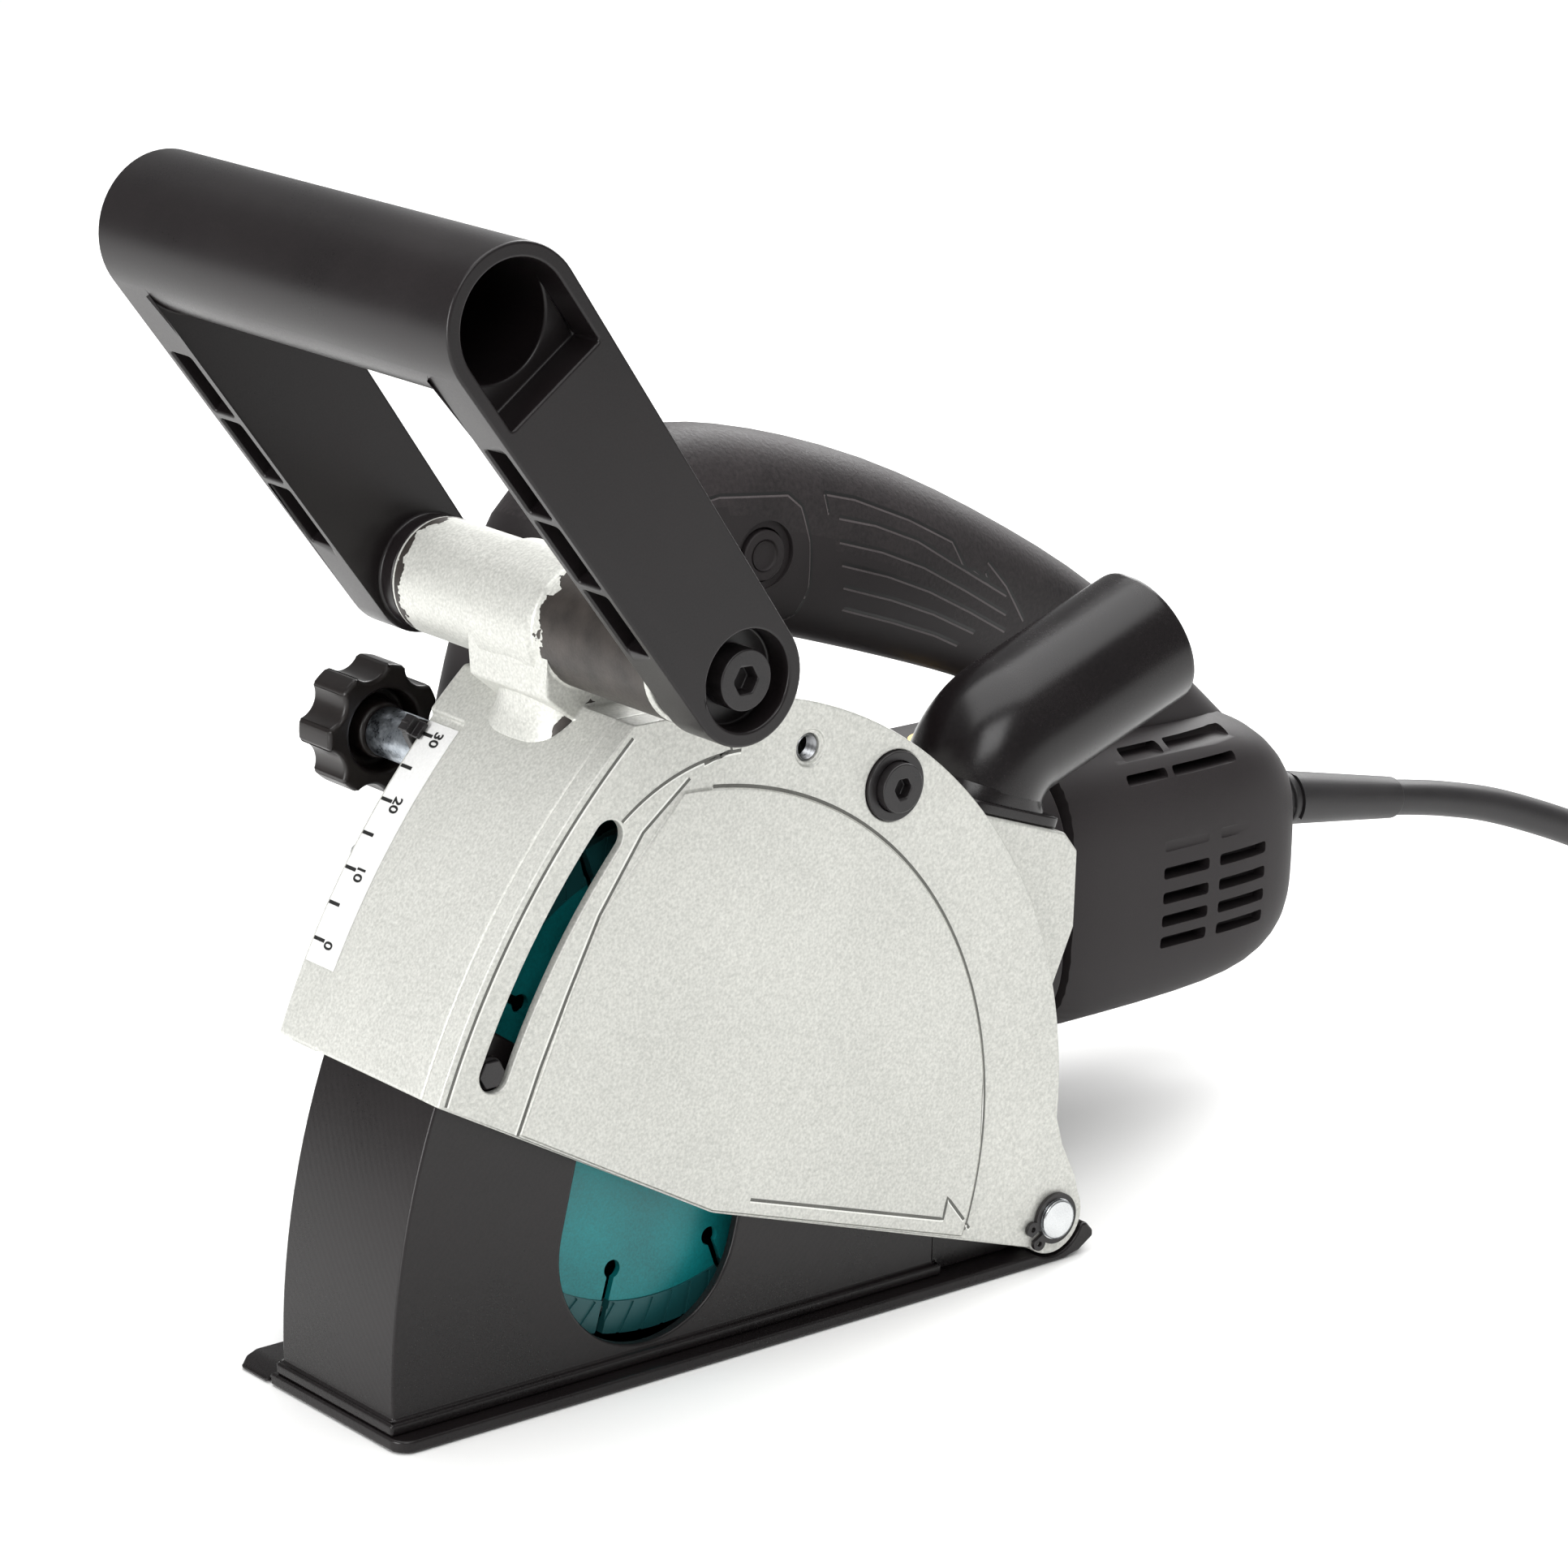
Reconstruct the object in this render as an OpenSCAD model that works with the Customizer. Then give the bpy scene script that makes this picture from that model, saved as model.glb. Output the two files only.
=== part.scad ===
// Wall chaser with twin 125 mm discs: a plunging head hinged on a slotted sole.
// +X is the cutting direction, +Y the tool's left, +Z up. The origin is on the
// sole plane, under the hinge pin and midway between the discs.

/* [Sole and guard] */
// Front end of the sole plate, ahead of the hinge pin
sole_front = 197; // [190:1:205]
// Left edge of the sole plate
sole_left = 28.7; // [28:0.1:31]
// Right edge of the sole plate
sole_right = 37.4; // [35:0.1:42]
// Thickness of the sole plate
sole_t = 3; // [2.5:0.1:3.2]
// Left outer face of the guard box
guard_left = 22.8; // [22:0.1:23]
// Right outer face of the guard box
guard_right = 21.3; // [21:0.1:21.5]
// Wall thickness of the guard box
guard_t = 2.8; // [2:0.1:3]

/* [Hinge and plunge] */
// Height of the hinge pin above the sole
pin_z = 11.9; // [11:0.1:13]
// Diameter of the hinge pin
pin_d = 10; // [8:0.5:10]
// Angle the head plunges through
plunge_angle = 18; // [16:0.5:18]

/* [Discs] */
// Diameter of a cutting disc
disc_d = 125; // [115:1:125]
// Distance over the outer faces of the two discs
groove_w = 30.4; // [24:0.2:31]
// Thickness of a disc at its rim
disc_t = 2.4; // [2:0.1:2.6]
// Spindle axis ahead of the hinge pin
spindle_x = 114.7; // [110:0.1:118]
// Spindle and motor axis above the sole
spindle_z = 69.4; // [66:0.1:71]
// Cooling slots in each disc
disc_slots = 10; // [6:1:12]

/* [Wheel case] */
// Left face of the case cover
case_left = 28.4; // [27.5:0.1:28.6]
// Right face of the case's wide front chamber
case_right = 36.2; // [36:0.1:37]
// Radius of the case's front wall about the hinge pin
case_r = 198.9; // [198:0.1:201]
// Thickness of the case walls
case_t = 3; // [2:0.1:3]
// Height of the flat top of the case
case_top = 160; // [156:1:164]

/* [Motor] */
// Motor axis, to the right of the discs
motor_y = -62; // [-66:1:-62]
// Rear end of the tool
tool_rear = -153; // [-165:1:-150]
// Width of the motor housing
motor_w = 75; // [70:1:75]
// Height of the motor housing
motor_h = 78; // [74:1:80]

/* [Front grip] */
// Distance over the arms of the grip
grip_w = 132; // [124:1:140]
// Diameter of the grip tube
grip_d = 35; // [30:1:38]
// Centre distance from the pivot to the tube
grip_arm = 106.6; // [95:0.1:115]

/* [Power cord] */
// Diameter of the cord
cord_d = 10; // [8:0.5:10]
// Distance between turns of the coil
coil_pitch = 10.5; // [10:0.1:11]
// Radius of the coil's innermost turn
coil_inner = 46; // [40:0.5:50]

/* [Hidden] */
$fn = 48;
eps = 0.05;
pin_r = pin_d / 2;
disc_r = disc_d / 2;
disc_face = groove_w / 2;
spindle_reach = norm([spindle_x, spindle_z - pin_z]);
spindle_angle = atan2(spindle_z - pin_z, spindle_x);

// Radii and angles that share the hinge pin as their centre.
guard_r = case_r - case_t - 0.9;
guard_top_angle = 26.5;
guide_r = 186;
guide_angle = 23.2;
guide_slot_w = 8.3;
stop_r = 188;
scale_zero_angle = 27.1;
scale_full_angle = 42.6;
strip_r = 197.4;
front_angle = 20.3;

// Rear and top of the case follow one arc about this centre.
dome = [116.7, 45.5];
dome_r = 117.4;
panel = [119.9, 46.5];
panel_r = 95.4;
cover_t = 2.5;
seam_y = 22;
knee = [107.3, 37.7];
chamber_x = 84;
narrow_right = 24.3;
boss = [130.9, 178.5];
boss_r = 14;
boss_half = 48;
cover_bolt_at = [55.5, 132.6];
thread_at = [81.2, 146];

// The dust flange slopes down to the rear.
flange_slope = 19;
flange_mid = [10, 113.75];
nozzle_y = 3;
nozzle_r = 18;
nozzle_elbow = [5, 128];
nozzle_end = [-47.3, 147.2];

grip_angle = 53.7;
grip_tube = [boss[0] + grip_arm * cos(grip_angle), boss[1] + grip_arm * sin(grip_angle)];
arm_t = 13;
arm_r = 15;

handle_y = [-80, -44];
rear_body_x = -50;
body_mid_z = 67.4;
cord_y = -52;
cord_z = 73;
guard_long = 43.1;
guard_droop = 9.9;

// Teeth of the bevel pair.
pinion_teeth = 10;
ring_teeth = 31;
pinion_r = 8;
ring_r = 25;

// Cord route from the guard's end to the coil, then from the coil to the plug.
coil_at = [-435, -22];
coil_cols = 3;
coil_layers = 2;
coil_outer = coil_inner + (coil_cols - 1) * coil_pitch;
cord_route = [
    [-197, -52, 65.6], [-205, -52, 64.2], [-218, -51.7, 61.6], [-236, -50.5, 57], [-256, -48.5, 49.8],
    [-276, -47.5, 41.3], [-297, -49.5, 31], [-318, -54.5, 20.5], [-340, -64, 11.8], [-362, -74, 6.6],
    [-385, -82, 5.1], [-408, -87, 5]
];
tail_route = [[-457, -89, 15.5], [-480, -89, 16.5], [-500, -89, 17]];
plug_at = [-500, -89, 17];

// ---- helpers ----

// Point at radius r and angle a about the hinge pin, in the XZ plane.
function pin_point(r, a) = [r * cos(a), pin_z + r * sin(a)];

// Extrudes an XZ profile from y0 to y1.
module slab(y0, y1) {
    translate([0, y1, 0]) rotate([90, 0, 0]) linear_extrude(y1 - y0) children();
}

// Cylinder along Y at an XZ point.
module ycyl(at, r, y0, y1, fn = 48) {
    slab(y0, y1) translate(at) circle(r, $fn = fn);
}

// Cylinder along X on the motor axis.
module xcyl(x0, x1, r, y = motor_y, z = spindle_z) {
    translate([x0, y, z]) rotate([0, 90, 0]) cylinder(h = x1 - x0, r = r);
}

// Cylinder between two XZ points at one Y.
module rod(a, b, y, r) {
    reach = b - a;
    translate([a[0], y, a[1]])
        rotate([0, 90 - atan2(reach[1], reach[0]), 0])
            cylinder(h = norm(reach), r = r);
}

// Socket-head screw along Y, its head outwards at y1.
module socket_screw_y(at, head_r, shank_r, y0, y1, head_h, key_r) {
    difference() {
        union() {
            ycyl(at, shank_r, y0, y1 - head_h + eps);
            ycyl(at, head_r, y1 - head_h, y1);
        }
        slab(y1 - head_h * 0.6, y1 + 1) translate(at) circle(key_r, $fn = 6);
    }
}

// Wedge about the hinge pin from angle a0 to a1.
module pin_wedge(a0, a1) {
    far = 420;
    polygon([[0, pin_z], pin_point(far, a0), pin_point(far, (a0 + a1) / 2), pin_point(far, a1)]);
}

// Ring about the hinge pin.
module pin_ring(r0, r1) {
    translate([0, pin_z]) difference() {
        circle(r1, $fn = 180);
        circle(r0, $fn = 180);
    }
}

// Slot with round ends that follows an arc about the hinge pin.
module arc_slot(r, w, a0, a1) {
    intersection() {
        pin_ring(r - w / 2, r + w / 2);
        pin_wedge(a0, a1);
    }
    translate(pin_point(r, a0)) circle(w / 2);
    translate(pin_point(r, a1)) circle(w / 2);
}

// Rectangle with round corners, centred.
module round_rect(w, h, r) {
    square([w - 2 * r, h], center = true);
    square([w, h - 2 * r], center = true);
    for (x = [-1, 1], y = [-1, 1])
        translate([x * (w / 2 - r), y * (h / 2 - r)]) circle(r);
}

// ---- sole ----

// Side profile of the plate: flat, with a hollow under the hinge and an upturned rear tip.
module sole_side() {
    difference() {
        polygon([
            [sole_front, 0], [sole_front, sole_t], [13, sole_t], [2, sole_t], [-9, 7.9],
            [-11.5, 7.9], [-13.7, 5.4], [-13.7, 3.8], [-9, 0.9], [-4, 0]
        ]);
        translate([0, pin_z]) circle(10.4);
    }
}

module sole_plate() {
    corner = 4.5;
    color([0.13, 0.12, 0.12]) difference() {
        slab(-sole_right, sole_left) sole_side();
        // disc slot
        translate([46, -guard_right + guard_t, -1])
            cube([sole_front - 46 - 7, guard_left + guard_right - 2 * guard_t, 20]);
        // front end of the right flange slopes down to its edge, with a notch beside it
        slab(-sole_right - 1, -guard_right - 2)
            polygon([[sole_front - 5.5, sole_t], [sole_front + 1, 0.6], [sole_front + 1, 9], [sole_front - 5.5, 9]]);
        translate([sole_front - 1.5, -guard_right - 3.2, -1]) cube([3, 1.2, 20]);
        translate([0, 0, -1]) linear_extrude(20)
            polygon([[sole_front + 1, -sole_right - 1], [sole_front - 4, -sole_right - 1],
                     [sole_front + 1, -sole_right + 3]]);
        // near corner
        translate([sole_front - corner, sole_left - corner, -1]) difference() {
            cube([corner + 1, corner + 1, 20]);
            translate([0, 0, -1]) cylinder(h = 30, r = corner);
        }
        translate([flange_screw[0], flange_screw[1], -1]) cylinder(h = 20, r = 1.9);
        for (at = lug_screws) translate([at[0], at[1], -1]) {
            cylinder(h = 20, r = 2.1);
            cylinder(h = 2.6, r = 3.3);
        }
    }
}

// One screw from above through the right flange, two from below into the hinge lugs.
flange_screw = [172, -29];
lug_screws = [[26, -17.7], [26, 17.3]];

// Walls of the box that the head slides over.
module guard_side() {
    intersection() {
        polygon([
            [34, sole_t], [34, 25], [knee[0], 52], pin_point(guard_r + 3, guard_top_angle),
            pin_point(guard_r + 9, 10), [guard_r + 9, sole_t]
        ]);
        translate([0, pin_z]) circle(guard_r, $fn = 180);
    }
}

// Space that the spindle and its flange pass through while the head plunges.
module spindle_path(r) {
    low = spindle_angle - plunge_angle - 0.3;
    intersection() {
        pin_ring(spindle_reach - r, spindle_reach + r);
        pin_wedge(low, 60);
    }
    translate(pin_point(spindle_reach, low)) circle(r);
}

// Sight window over the cutting edge, open at the top.
module window() {
    at = [122, 33.4];
    r = 26;
    translate(at) circle(r, $fn = 96);
    translate(at) rotate(13) translate([-r, 0]) square([2 * r, 50]);
}

module guard_box() {
    color([0.14, 0.13, 0.13]) {
        difference() {
            slab(-guard_right, guard_left) guard_side();
            // inside of the box
            slab(-guard_right + guard_t, guard_left - guard_t) difference() {
                translate([0, pin_z]) circle(guard_r - guard_t, $fn = 180);
                translate([0, -1]) square([34 + guard_t, 60]);
            }
            slab(guard_left - guard_t - 1, guard_left + 1) window();
            slab(-guard_right - 1, -guard_right + guard_t + 1) spindle_path(24);
            ycyl(pin_point(guide_r, guide_angle), 3, 0, 30);
        }
        guard_foot();
        hinge_lugs();
    }
}

// Raised bead where the box meets the plate.
module guard_foot() {
    bead = 1.6;
    top = 6;
    slot_y0 = -guard_right;
    difference() {
        slab(slot_y0 - 0.6, guard_left + bead) intersection() {
            translate([34 - bead, sole_t]) square([guard_r, top - sole_t]);
            translate([0, pin_z]) circle(guard_r + bead, $fn = 180);
        }
        slab(slot_y0, guard_left) difference() {
            translate([0, pin_z]) circle(guard_r, $fn = 180);
            square([68, 60], center = true);
        }
    }
    translate([flange_screw[0], flange_screw[1], sole_t]) difference() {
        translate([-4, -3.6, 0]) cube([8, 10.8, 2]);
        translate([0, 0, -1]) cylinder(h = 5, r = 1.9);
    }
}

// Two lugs that carry the hinge pin between the ears of the case.
module hinge_lugs() {
    for (y = [[-21.5, -14], [13, 21.6]]) difference() {
        union() {
            ycyl([0, pin_z], 8.6, y[0], y[1]);
            slab(y[0], y[1]) polygon([[0, 4.2], [8.6, pin_z], [20, 17], [36, 15], [36, sole_t], [10.5, sole_t]]);
        }
        ycyl([0, pin_z], pin_r, y[0] - 1, y[1] + 1);
        slab(y[0] - 1, y[1] + 1) sole_side();
        for (at = lug_screws) translate([at[0], at[1], -1]) cylinder(h = 12, r = 1.7);
    }
}

module sole_screws() {
    color([0.45, 0.45, 0.46]) {
        translate([flange_screw[0], flange_screw[1], 0.3]) cylinder(h = 4.7, r = 1.85);
        translate([flange_screw[0], flange_screw[1], sole_t + 2]) difference() {
            cylinder(h = 2, r = 3.4);
            translate([0, 0, 0.8]) cylinder(h = 2, r = 1.4, $fn = 6);
        }
        for (at = lug_screws) translate([at[0], at[1], 0.2]) difference() {
            union() {
                cylinder(h = 9.8, r = 1.65);
                cylinder(h = 1.4, r = 3.2);
            }
            translate([0, 0, -1]) cylinder(h = 1.8, r = 1.4, $fn = 6);
        }
    }
}

module hinge_pin() {
    color([0.82, 0.83, 0.84]) difference() {
        ycyl([0, pin_z], pin_r, -narrow_right - 3.2, case_left + 2.4);
        for (y = [-narrow_right - 1.6, case_left + 0.3]) slab(y, y + 1.2) translate([0, pin_z])
            difference() {
                circle(pin_r + 1);
                circle(pin_r - 0.5);
            }
    }
}

// External retaining rings, their eared gap towards the front and down.
module pin_circlips() {
    color([0.07, 0.07, 0.07]) for (y = [-narrow_right - 1.5, case_left + 0.4])
        slab(y, y + 1) translate([0, pin_z]) rotate(-28) difference() {
            union() {
                circle(pin_r + 1.5);
                for (side = [-1, 1]) translate([pin_r + 2.2, side * 2.3]) circle(1.9);
            }
            circle(pin_r - 0.5);
            translate([0, -0.8]) square([16, 1.6]);
            for (side = [-1, 1]) translate([pin_r + 2.3, side * 2.4]) circle(0.7);
        }
}

module guide_bolt() {
    at = pin_point(guide_r, guide_angle);
    color([0.09, 0.09, 0.09]) {
        ycyl(at, 2.95, guard_left - guard_t, guard_left);
        ycyl(at, 3.8, guard_left, guard_left + 3.6);
        slab(guard_left + 3.6, guard_left + 4.8) translate(at) circle(3.6, $fn = 6);
    }
}

// Torsion spring around the hinge pin, with a leg on the sole and a leg under the case.
module plunge_spring() {
    wire = 1;
    turns = 9;
    pitch = 2.4;
    color([0.6, 0.6, 0.62]) {
        for (i = [0:turns - 1]) translate([0, -11.2 + i * pitch, pin_z]) rotate([90, 0, 0])
            rotate_extrude() translate([6.6, 0]) circle(wire, $fn = 16);
        translate([6.6, -11.2, pin_z]) rotate([0, 100, 0]) cylinder(h = 22, r = wire);
        translate([-1, -11.2 + (turns - 1) * pitch, pin_z + 6.6]) rotate([0, 72, 0]) cylinder(h = 22, r = wire);
    }
}

// ---- wheel case ----

// Area above the case's two-part lower edge.
module above_lower_edge() {
    reach = 260;
    polygon([
        [12.2, 7.1], [25.7, 11.4], knee, [186.4, 80.8], [reach, 121], [reach, 300], [-40, 300], [-40, 7.1]
    ]);
}

// Outline of the case seen from the left, moved in by inset.
module case_outline(inset = 0) {
    intersection() {
        translate(dome) circle(dome_r - inset, $fn = 180);
        translate([0, pin_z]) circle(case_r - inset, $fn = 180);
        translate([-40, 0]) square([300, case_top - inset]);
        above_lower_edge();
    }
}

// The ear that wraps the hinge pin.
module ear_outline() {
    translate([0, pin_z]) circle(9.6);
    polygon([[-9.6, pin_z], [-7.3, 20.8], [-2.6, 30.4], [0.2, 40], [10, 45], [25.7, 11.4], [8, 5.6]]);
}

module case_band(inset) {
    difference() {
        case_outline();
        difference() {
            case_outline(inset);
            // the lower rear stays closed around the ear
            translate([-20, 0]) square([20 + inset, 34]);
        }
    }
}

// Duct outline behind the dome, moved in by inset.
module chute_outline(inset = 0) {
    polygon([
        [27 - inset, 119.6 - inset], [-5.8 + inset * 0.3, 108.3 - inset], [-10 + inset, 103 - inset * 0.5],
        [-9.7 + inset, 83.6 + inset * 0.3], [-2.4 + inset, 67.3 + inset], [6, 64 + inset], [30, 90]
    ]);
}

module wheel_case() {
    color([0.78, 0.79, 0.77]) difference() {
        union() {
            // front, top and rear wall
            slab(-case_right, seam_y) difference() {
                case_band(case_t);
                translate([-40, 0]) square([40 + chamber_x, 300]);
            }
            slab(-narrow_right, seam_y) difference() {
                case_band(case_t);
                translate([chamber_x, 0]) square([300, 300]);
            }
            // right wall, stepped outwards for the front chamber
            slab(-narrow_right, -narrow_right + case_t - 1) {
                difference() {
                    case_outline();
                    translate([chamber_x, 0]) square([300, 300]);
                }
                ear_outline();
            }
            slab(-case_right, -case_right + case_t) difference() {
                case_outline();
                translate([-40, 0]) square([40 + chamber_x, 300]);
            }
            slab(-case_right, -narrow_right + case_t - 1) intersection() {
                case_outline();
                translate([chamber_x, 0]) square([case_t, 300]);
            }
            // thicker wall behind the scale strip
            slab(-case_right, -guard_right - 0.7) intersection() {
                pin_ring(strip_r - 3.6, case_r - 1);
                pin_wedge(front_angle, scale_full_angle + 2);
                above_lower_edge();
            }
            chute();
            grip_boss();
        }
        // scale strip is set back from the front wall
        slab(-case_right - 1, -guard_right - 0.9) intersection() {
            pin_ring(strip_r, case_r + 5);
            pin_wedge(0, scale_full_angle + 1.6);
        }
        ycyl([0, pin_z], pin_r + eps, -40, 30);
        // room for the hinge lugs and the return spring
        slab(-narrow_right + case_t - 1, seam_y + 1) {
            translate([0, pin_z]) circle(9.8);
            polygon([[0, 0], [40, 0], [40, 28], [-2, 28]]);
        }
        ycyl([spindle_x, spindle_z], 24.3, -40, -30);
        slab(-case_right - 1, -case_right + case_t + 1)
            arc_slot(stop_r, 8.6, scale_zero_angle, scale_full_angle);
        chute_hollow();
        for (side = [-1, 1]) ycyl(boss, 3.4, side > 0 ? 22 : -60, side > 0 ? 60 : -22);
        ycyl(cover_bolt_at, 2.5, 8, 30);
        nozzle_screw_shape(1.55, 1.55, 1);
    }
    color([0.78, 0.79, 0.77]) cover_bolt_post();
}

// Threaded post inside the case for the cover's bolt.
module cover_bolt_post() {
    difference() {
        slab(-narrow_right + case_t - 1, seam_y) intersection() {
            translate(cover_bolt_at) circle(6.5);
            case_outline(case_t);
        }
        ycyl(cover_bolt_at, 2.5, 8, 30);
    }
}

// Dust duct that leaves the rear of the case.
module chute() {
    slab(-16, seam_y) difference() {
        chute_outline();
        case_outline(case_t);
    }
}

module chute_hollow() {
    slab(-13, seam_y - 3) intersection() {
        chute_outline(3);
        translate([-40, 0]) square([64, 200]);
    }
    translate([flange_mid[0], nozzle_y, flange_mid[1]]) rotate([0, -flange_slope, 0])
        translate([0, 0, -12]) cylinder(h = 20, r = 14);
}

// Cylinder that carries the front grip, on a waisted neck.
module grip_boss() {
    ycyl(boss, boss_r, -boss_half, boss_half);
    slab(-20, 10) polygon([
        [boss[0] - 15, case_top - 4], [boss[0] - 11, 172], [boss[0] + 13, 174], [143, 163],
        pin_point(case_r - 1.5, 47), pin_point(case_r - 1.5, 42), [131, 156]
    ]);
    slab(-16, 6) translate(boss) circle(boss_r + 1.2);
}

module case_cover() {
    color([0.8, 0.81, 0.79]) difference() {
        union() {
            slab(case_left - cover_t, case_left) {
                case_outline();
                ear_outline();
            }
            slab(seam_y + 0.05, case_left - cover_t) case_band(case_t);
            slab(seam_y + 0.05, case_left - cover_t) ear_outline();
            slab(case_left, case_left + 0.5) panel_outline();
            ycyl(thread_at, 7, seam_y + 1, case_left);
        }
        slab(seam_y - 1, case_left + 2)
            arc_slot(guide_r, guide_slot_w, guide_angle, guide_angle + 18.2);
        ycyl([0, pin_z], pin_r + eps, 0, 40);
        ycyl(cover_bolt_at, 4.1, 0, 40);
        ycyl(cover_bolt_at, 8.6, case_left - 1.2, 40);
        ycyl(thread_at, 3.4, 0, 40);
        ycyl(thread_at, 4.4, case_left - 0.8, 40);
    }
}

// Raised field on the cover: a large arc with a cut-off nose and a straight front edge.
module panel_outline() {
    intersection() {
        translate(panel) circle(panel_r, $fn = 180);
        polygon([
            [25.2, 12.4], [24, 160], [116, 160], [116, 144.5], [141.5, 116.8], [150.5, 99.4],
            [163.9, 69.6], [knee[0] + 1, knee[1] + 1]
        ]);
    }
}

module cover_bolt() {
    color([0.08, 0.08, 0.08]) {
        socket_screw_y(cover_bolt_at, 6, 2.45, 9, case_left + 3.4, 4.6, 2.6);
        ycyl_ring(cover_bolt_at, 6.1, 8.5, case_left - 1.15, case_left + 1);
    }
}

// Ring along Y.
module ycyl_ring(at, r0, r1, y0, y1, fn = 48) {
    slab(y0, y1) translate(at) difference() {
        circle(r1, $fn = fn);
        circle(r0, $fn = fn);
    }
}

// White scale on the set-back strip, with a tick every 5 mm of depth.
module depth_scale() {
    color([0.93, 0.93, 0.92]) slab(-case_right + 1.4, -guard_right - 2.4) intersection() {
        pin_ring(strip_r, strip_r + 0.3);
        pin_wedge(scale_zero_angle - 1.6, scale_full_angle + 1);
    }
}

// ---- dust nozzle ----

module dust_nozzle() {
    color([0.11, 0.1, 0.1]) difference() {
        union() {
            translate([flange_mid[0], nozzle_y, flange_mid[1]]) rotate([0, -flange_slope, 0])
                translate([-17, -18, 0.1]) cube([32, 36, 3]);
            rod([9.4, 115.4], nozzle_elbow, nozzle_y, nozzle_r - 0.6);
            translate([nozzle_elbow[0], nozzle_y, nozzle_elbow[1]]) sphere(nozzle_r + 0.4, $fn = 64);
            rod(nozzle_elbow, nozzle_end, nozzle_y, nozzle_r);
        }
        rod([10.5, 112], nozzle_elbow, nozzle_y, nozzle_r - 4);
        translate([nozzle_elbow[0], nozzle_y, nozzle_elbow[1]]) sphere(nozzle_r - 3.7, $fn = 64);
        rod(nozzle_elbow, nozzle_mouth(0), nozzle_y, nozzle_r - 4);
        rod(nozzle_mouth(32), nozzle_mouth(-1), nozzle_y, nozzle_r - 2.5);
        nozzle_screw_shape(1.6, 2.95, 4);
        // the elbow is cut flat where it stands on the duct
        translate([flange_mid[0], nozzle_y, flange_mid[1]]) rotate([0, -flange_slope, 0])
            translate([-30, -30, -20]) cube([60, 60, 20.1]);
    }
}

// Point on the nozzle's axis, this far inside its mouth.
function nozzle_mouth(depth) =
    nozzle_end + depth * (nozzle_elbow - nozzle_end) / norm(nozzle_elbow - nozzle_end);

module nozzle_screw_shape(shank_r, head_r, head_h) {
    translate([flange_mid[0], nozzle_y, flange_mid[1]]) rotate([0, -flange_slope, 0])
        translate([-14, -15, 0]) {
            translate([0, 0, -2.5]) cylinder(h = 6, r = shank_r);
            translate([0, 0, 3.1]) cylinder(h = head_h, r = head_r);
        }
}

module nozzle_screw() {
    color([0.5, 0.5, 0.52]) difference() {
        nozzle_screw_shape(1.5, 2.75, 2.2);
        translate([flange_mid[0], nozzle_y, flange_mid[1]]) rotate([0, -flange_slope, 0])
            translate([-14, -15, 4]) cylinder(h = 3, r = 1.4, $fn = 6);
    }
}

// ---- gear housing and spindle ----

gear_x = [62, 147];
gear_y = [-90, -39.6];
lock_y = -50;
gear_z = [37, 102];

// Height of the work's surface at full plunge, in the head's own frame, raised by clear.
function plunged_floor(x, clear) =
    pin_z + x * tan(plunge_angle) - (pin_z - clear) / cos(plunge_angle);

// The housing seen from above: its far corner is cut back behind the case.
module gear_plan(inset) {
    cut_x = gear_x[1] - 20 - inset;
    linear_extrude(gear_z[1] + 10) polygon([
        [gear_x[0] - 1, gear_y[0] - 1], [cut_x, gear_y[0] - 1], [gear_x[1] + 1 - inset, -57 - inset / 2],
        [gear_x[1] + 1 - inset, gear_y[1] + 2], [gear_x[0] - 1, gear_y[1] + 2]
    ]);
}

module gear_housing() {
    wall = 4;
    color([0.7, 0.71, 0.71]) difference() {
        union() {
            intersection() {
                slab(gear_y[0], gear_y[1]) polygon([
                    [gear_x[0], gear_z[0]], [112, plunged_floor(112, 1)], [gear_x[1], plunged_floor(gear_x[1], 1)],
                    [gear_x[1], gear_z[1] - 18], [gear_x[1] - 18, gear_z[1]], [gear_x[0], gear_z[1]]
                ]);
                gear_plan(0);
            }
            xcyl(gear_x[0] - 4, gear_x[0] + 1, 33);
            xcyl(gear_x[1] - 1, gear_x[1] + 2.5, 8, lock_y);
        }
        intersection() {
            slab(gear_y[0] + wall, gear_y[1] + 1) polygon([
                [82, gear_z[0] + wall], [112, plunged_floor(112, 3)],
                [gear_x[1] - wall, plunged_floor(gear_x[1] - wall, 3)], [gear_x[1] - wall, gear_z[1] - 20],
                [gear_x[1] - 20, gear_z[1] - wall], [82, gear_z[1] - wall]
            ]);
            gear_plan(3);
        }
        // armature bearing seat and passage
        xcyl(gear_x[0] - 5, 74, 13);
        xcyl(73, 83, 6.5);
        // spindle's far bearing seat
        ycyl([spindle_x, spindle_z], 11, gear_y[0] + 1.5, gear_y[0] + 6);
        // lock pin passage
        xcyl(gear_x[1] - 10, gear_x[1] + 5, 3.55, lock_y);
        xcyl(gear_x[1] - 0.6, gear_x[1] + 5, 6.2, lock_y);
        gear_screw_holes(2.1);
    }
}

module gear_screw_holes(r) {
    for (y = [-28, 28], z = [-24, 24]) translate([gear_x[0] - 6, motor_y + y * 0.95, spindle_z + z])
        rotate([0, 90, 0]) cylinder(h = 20, r = r);
}

// Four long screws that hold the gear housing to the motor housing.
module gear_screws() {
    color([0.45, 0.45, 0.46]) {
        for (y = [-28, 28], z = [-24, 24])
            translate([gear_x[0] - 5, motor_y + y * 0.95, spindle_z + z]) rotate([0, 90, 0])
                cylinder(h = 18, r = 2.05);
    }
}

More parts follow.
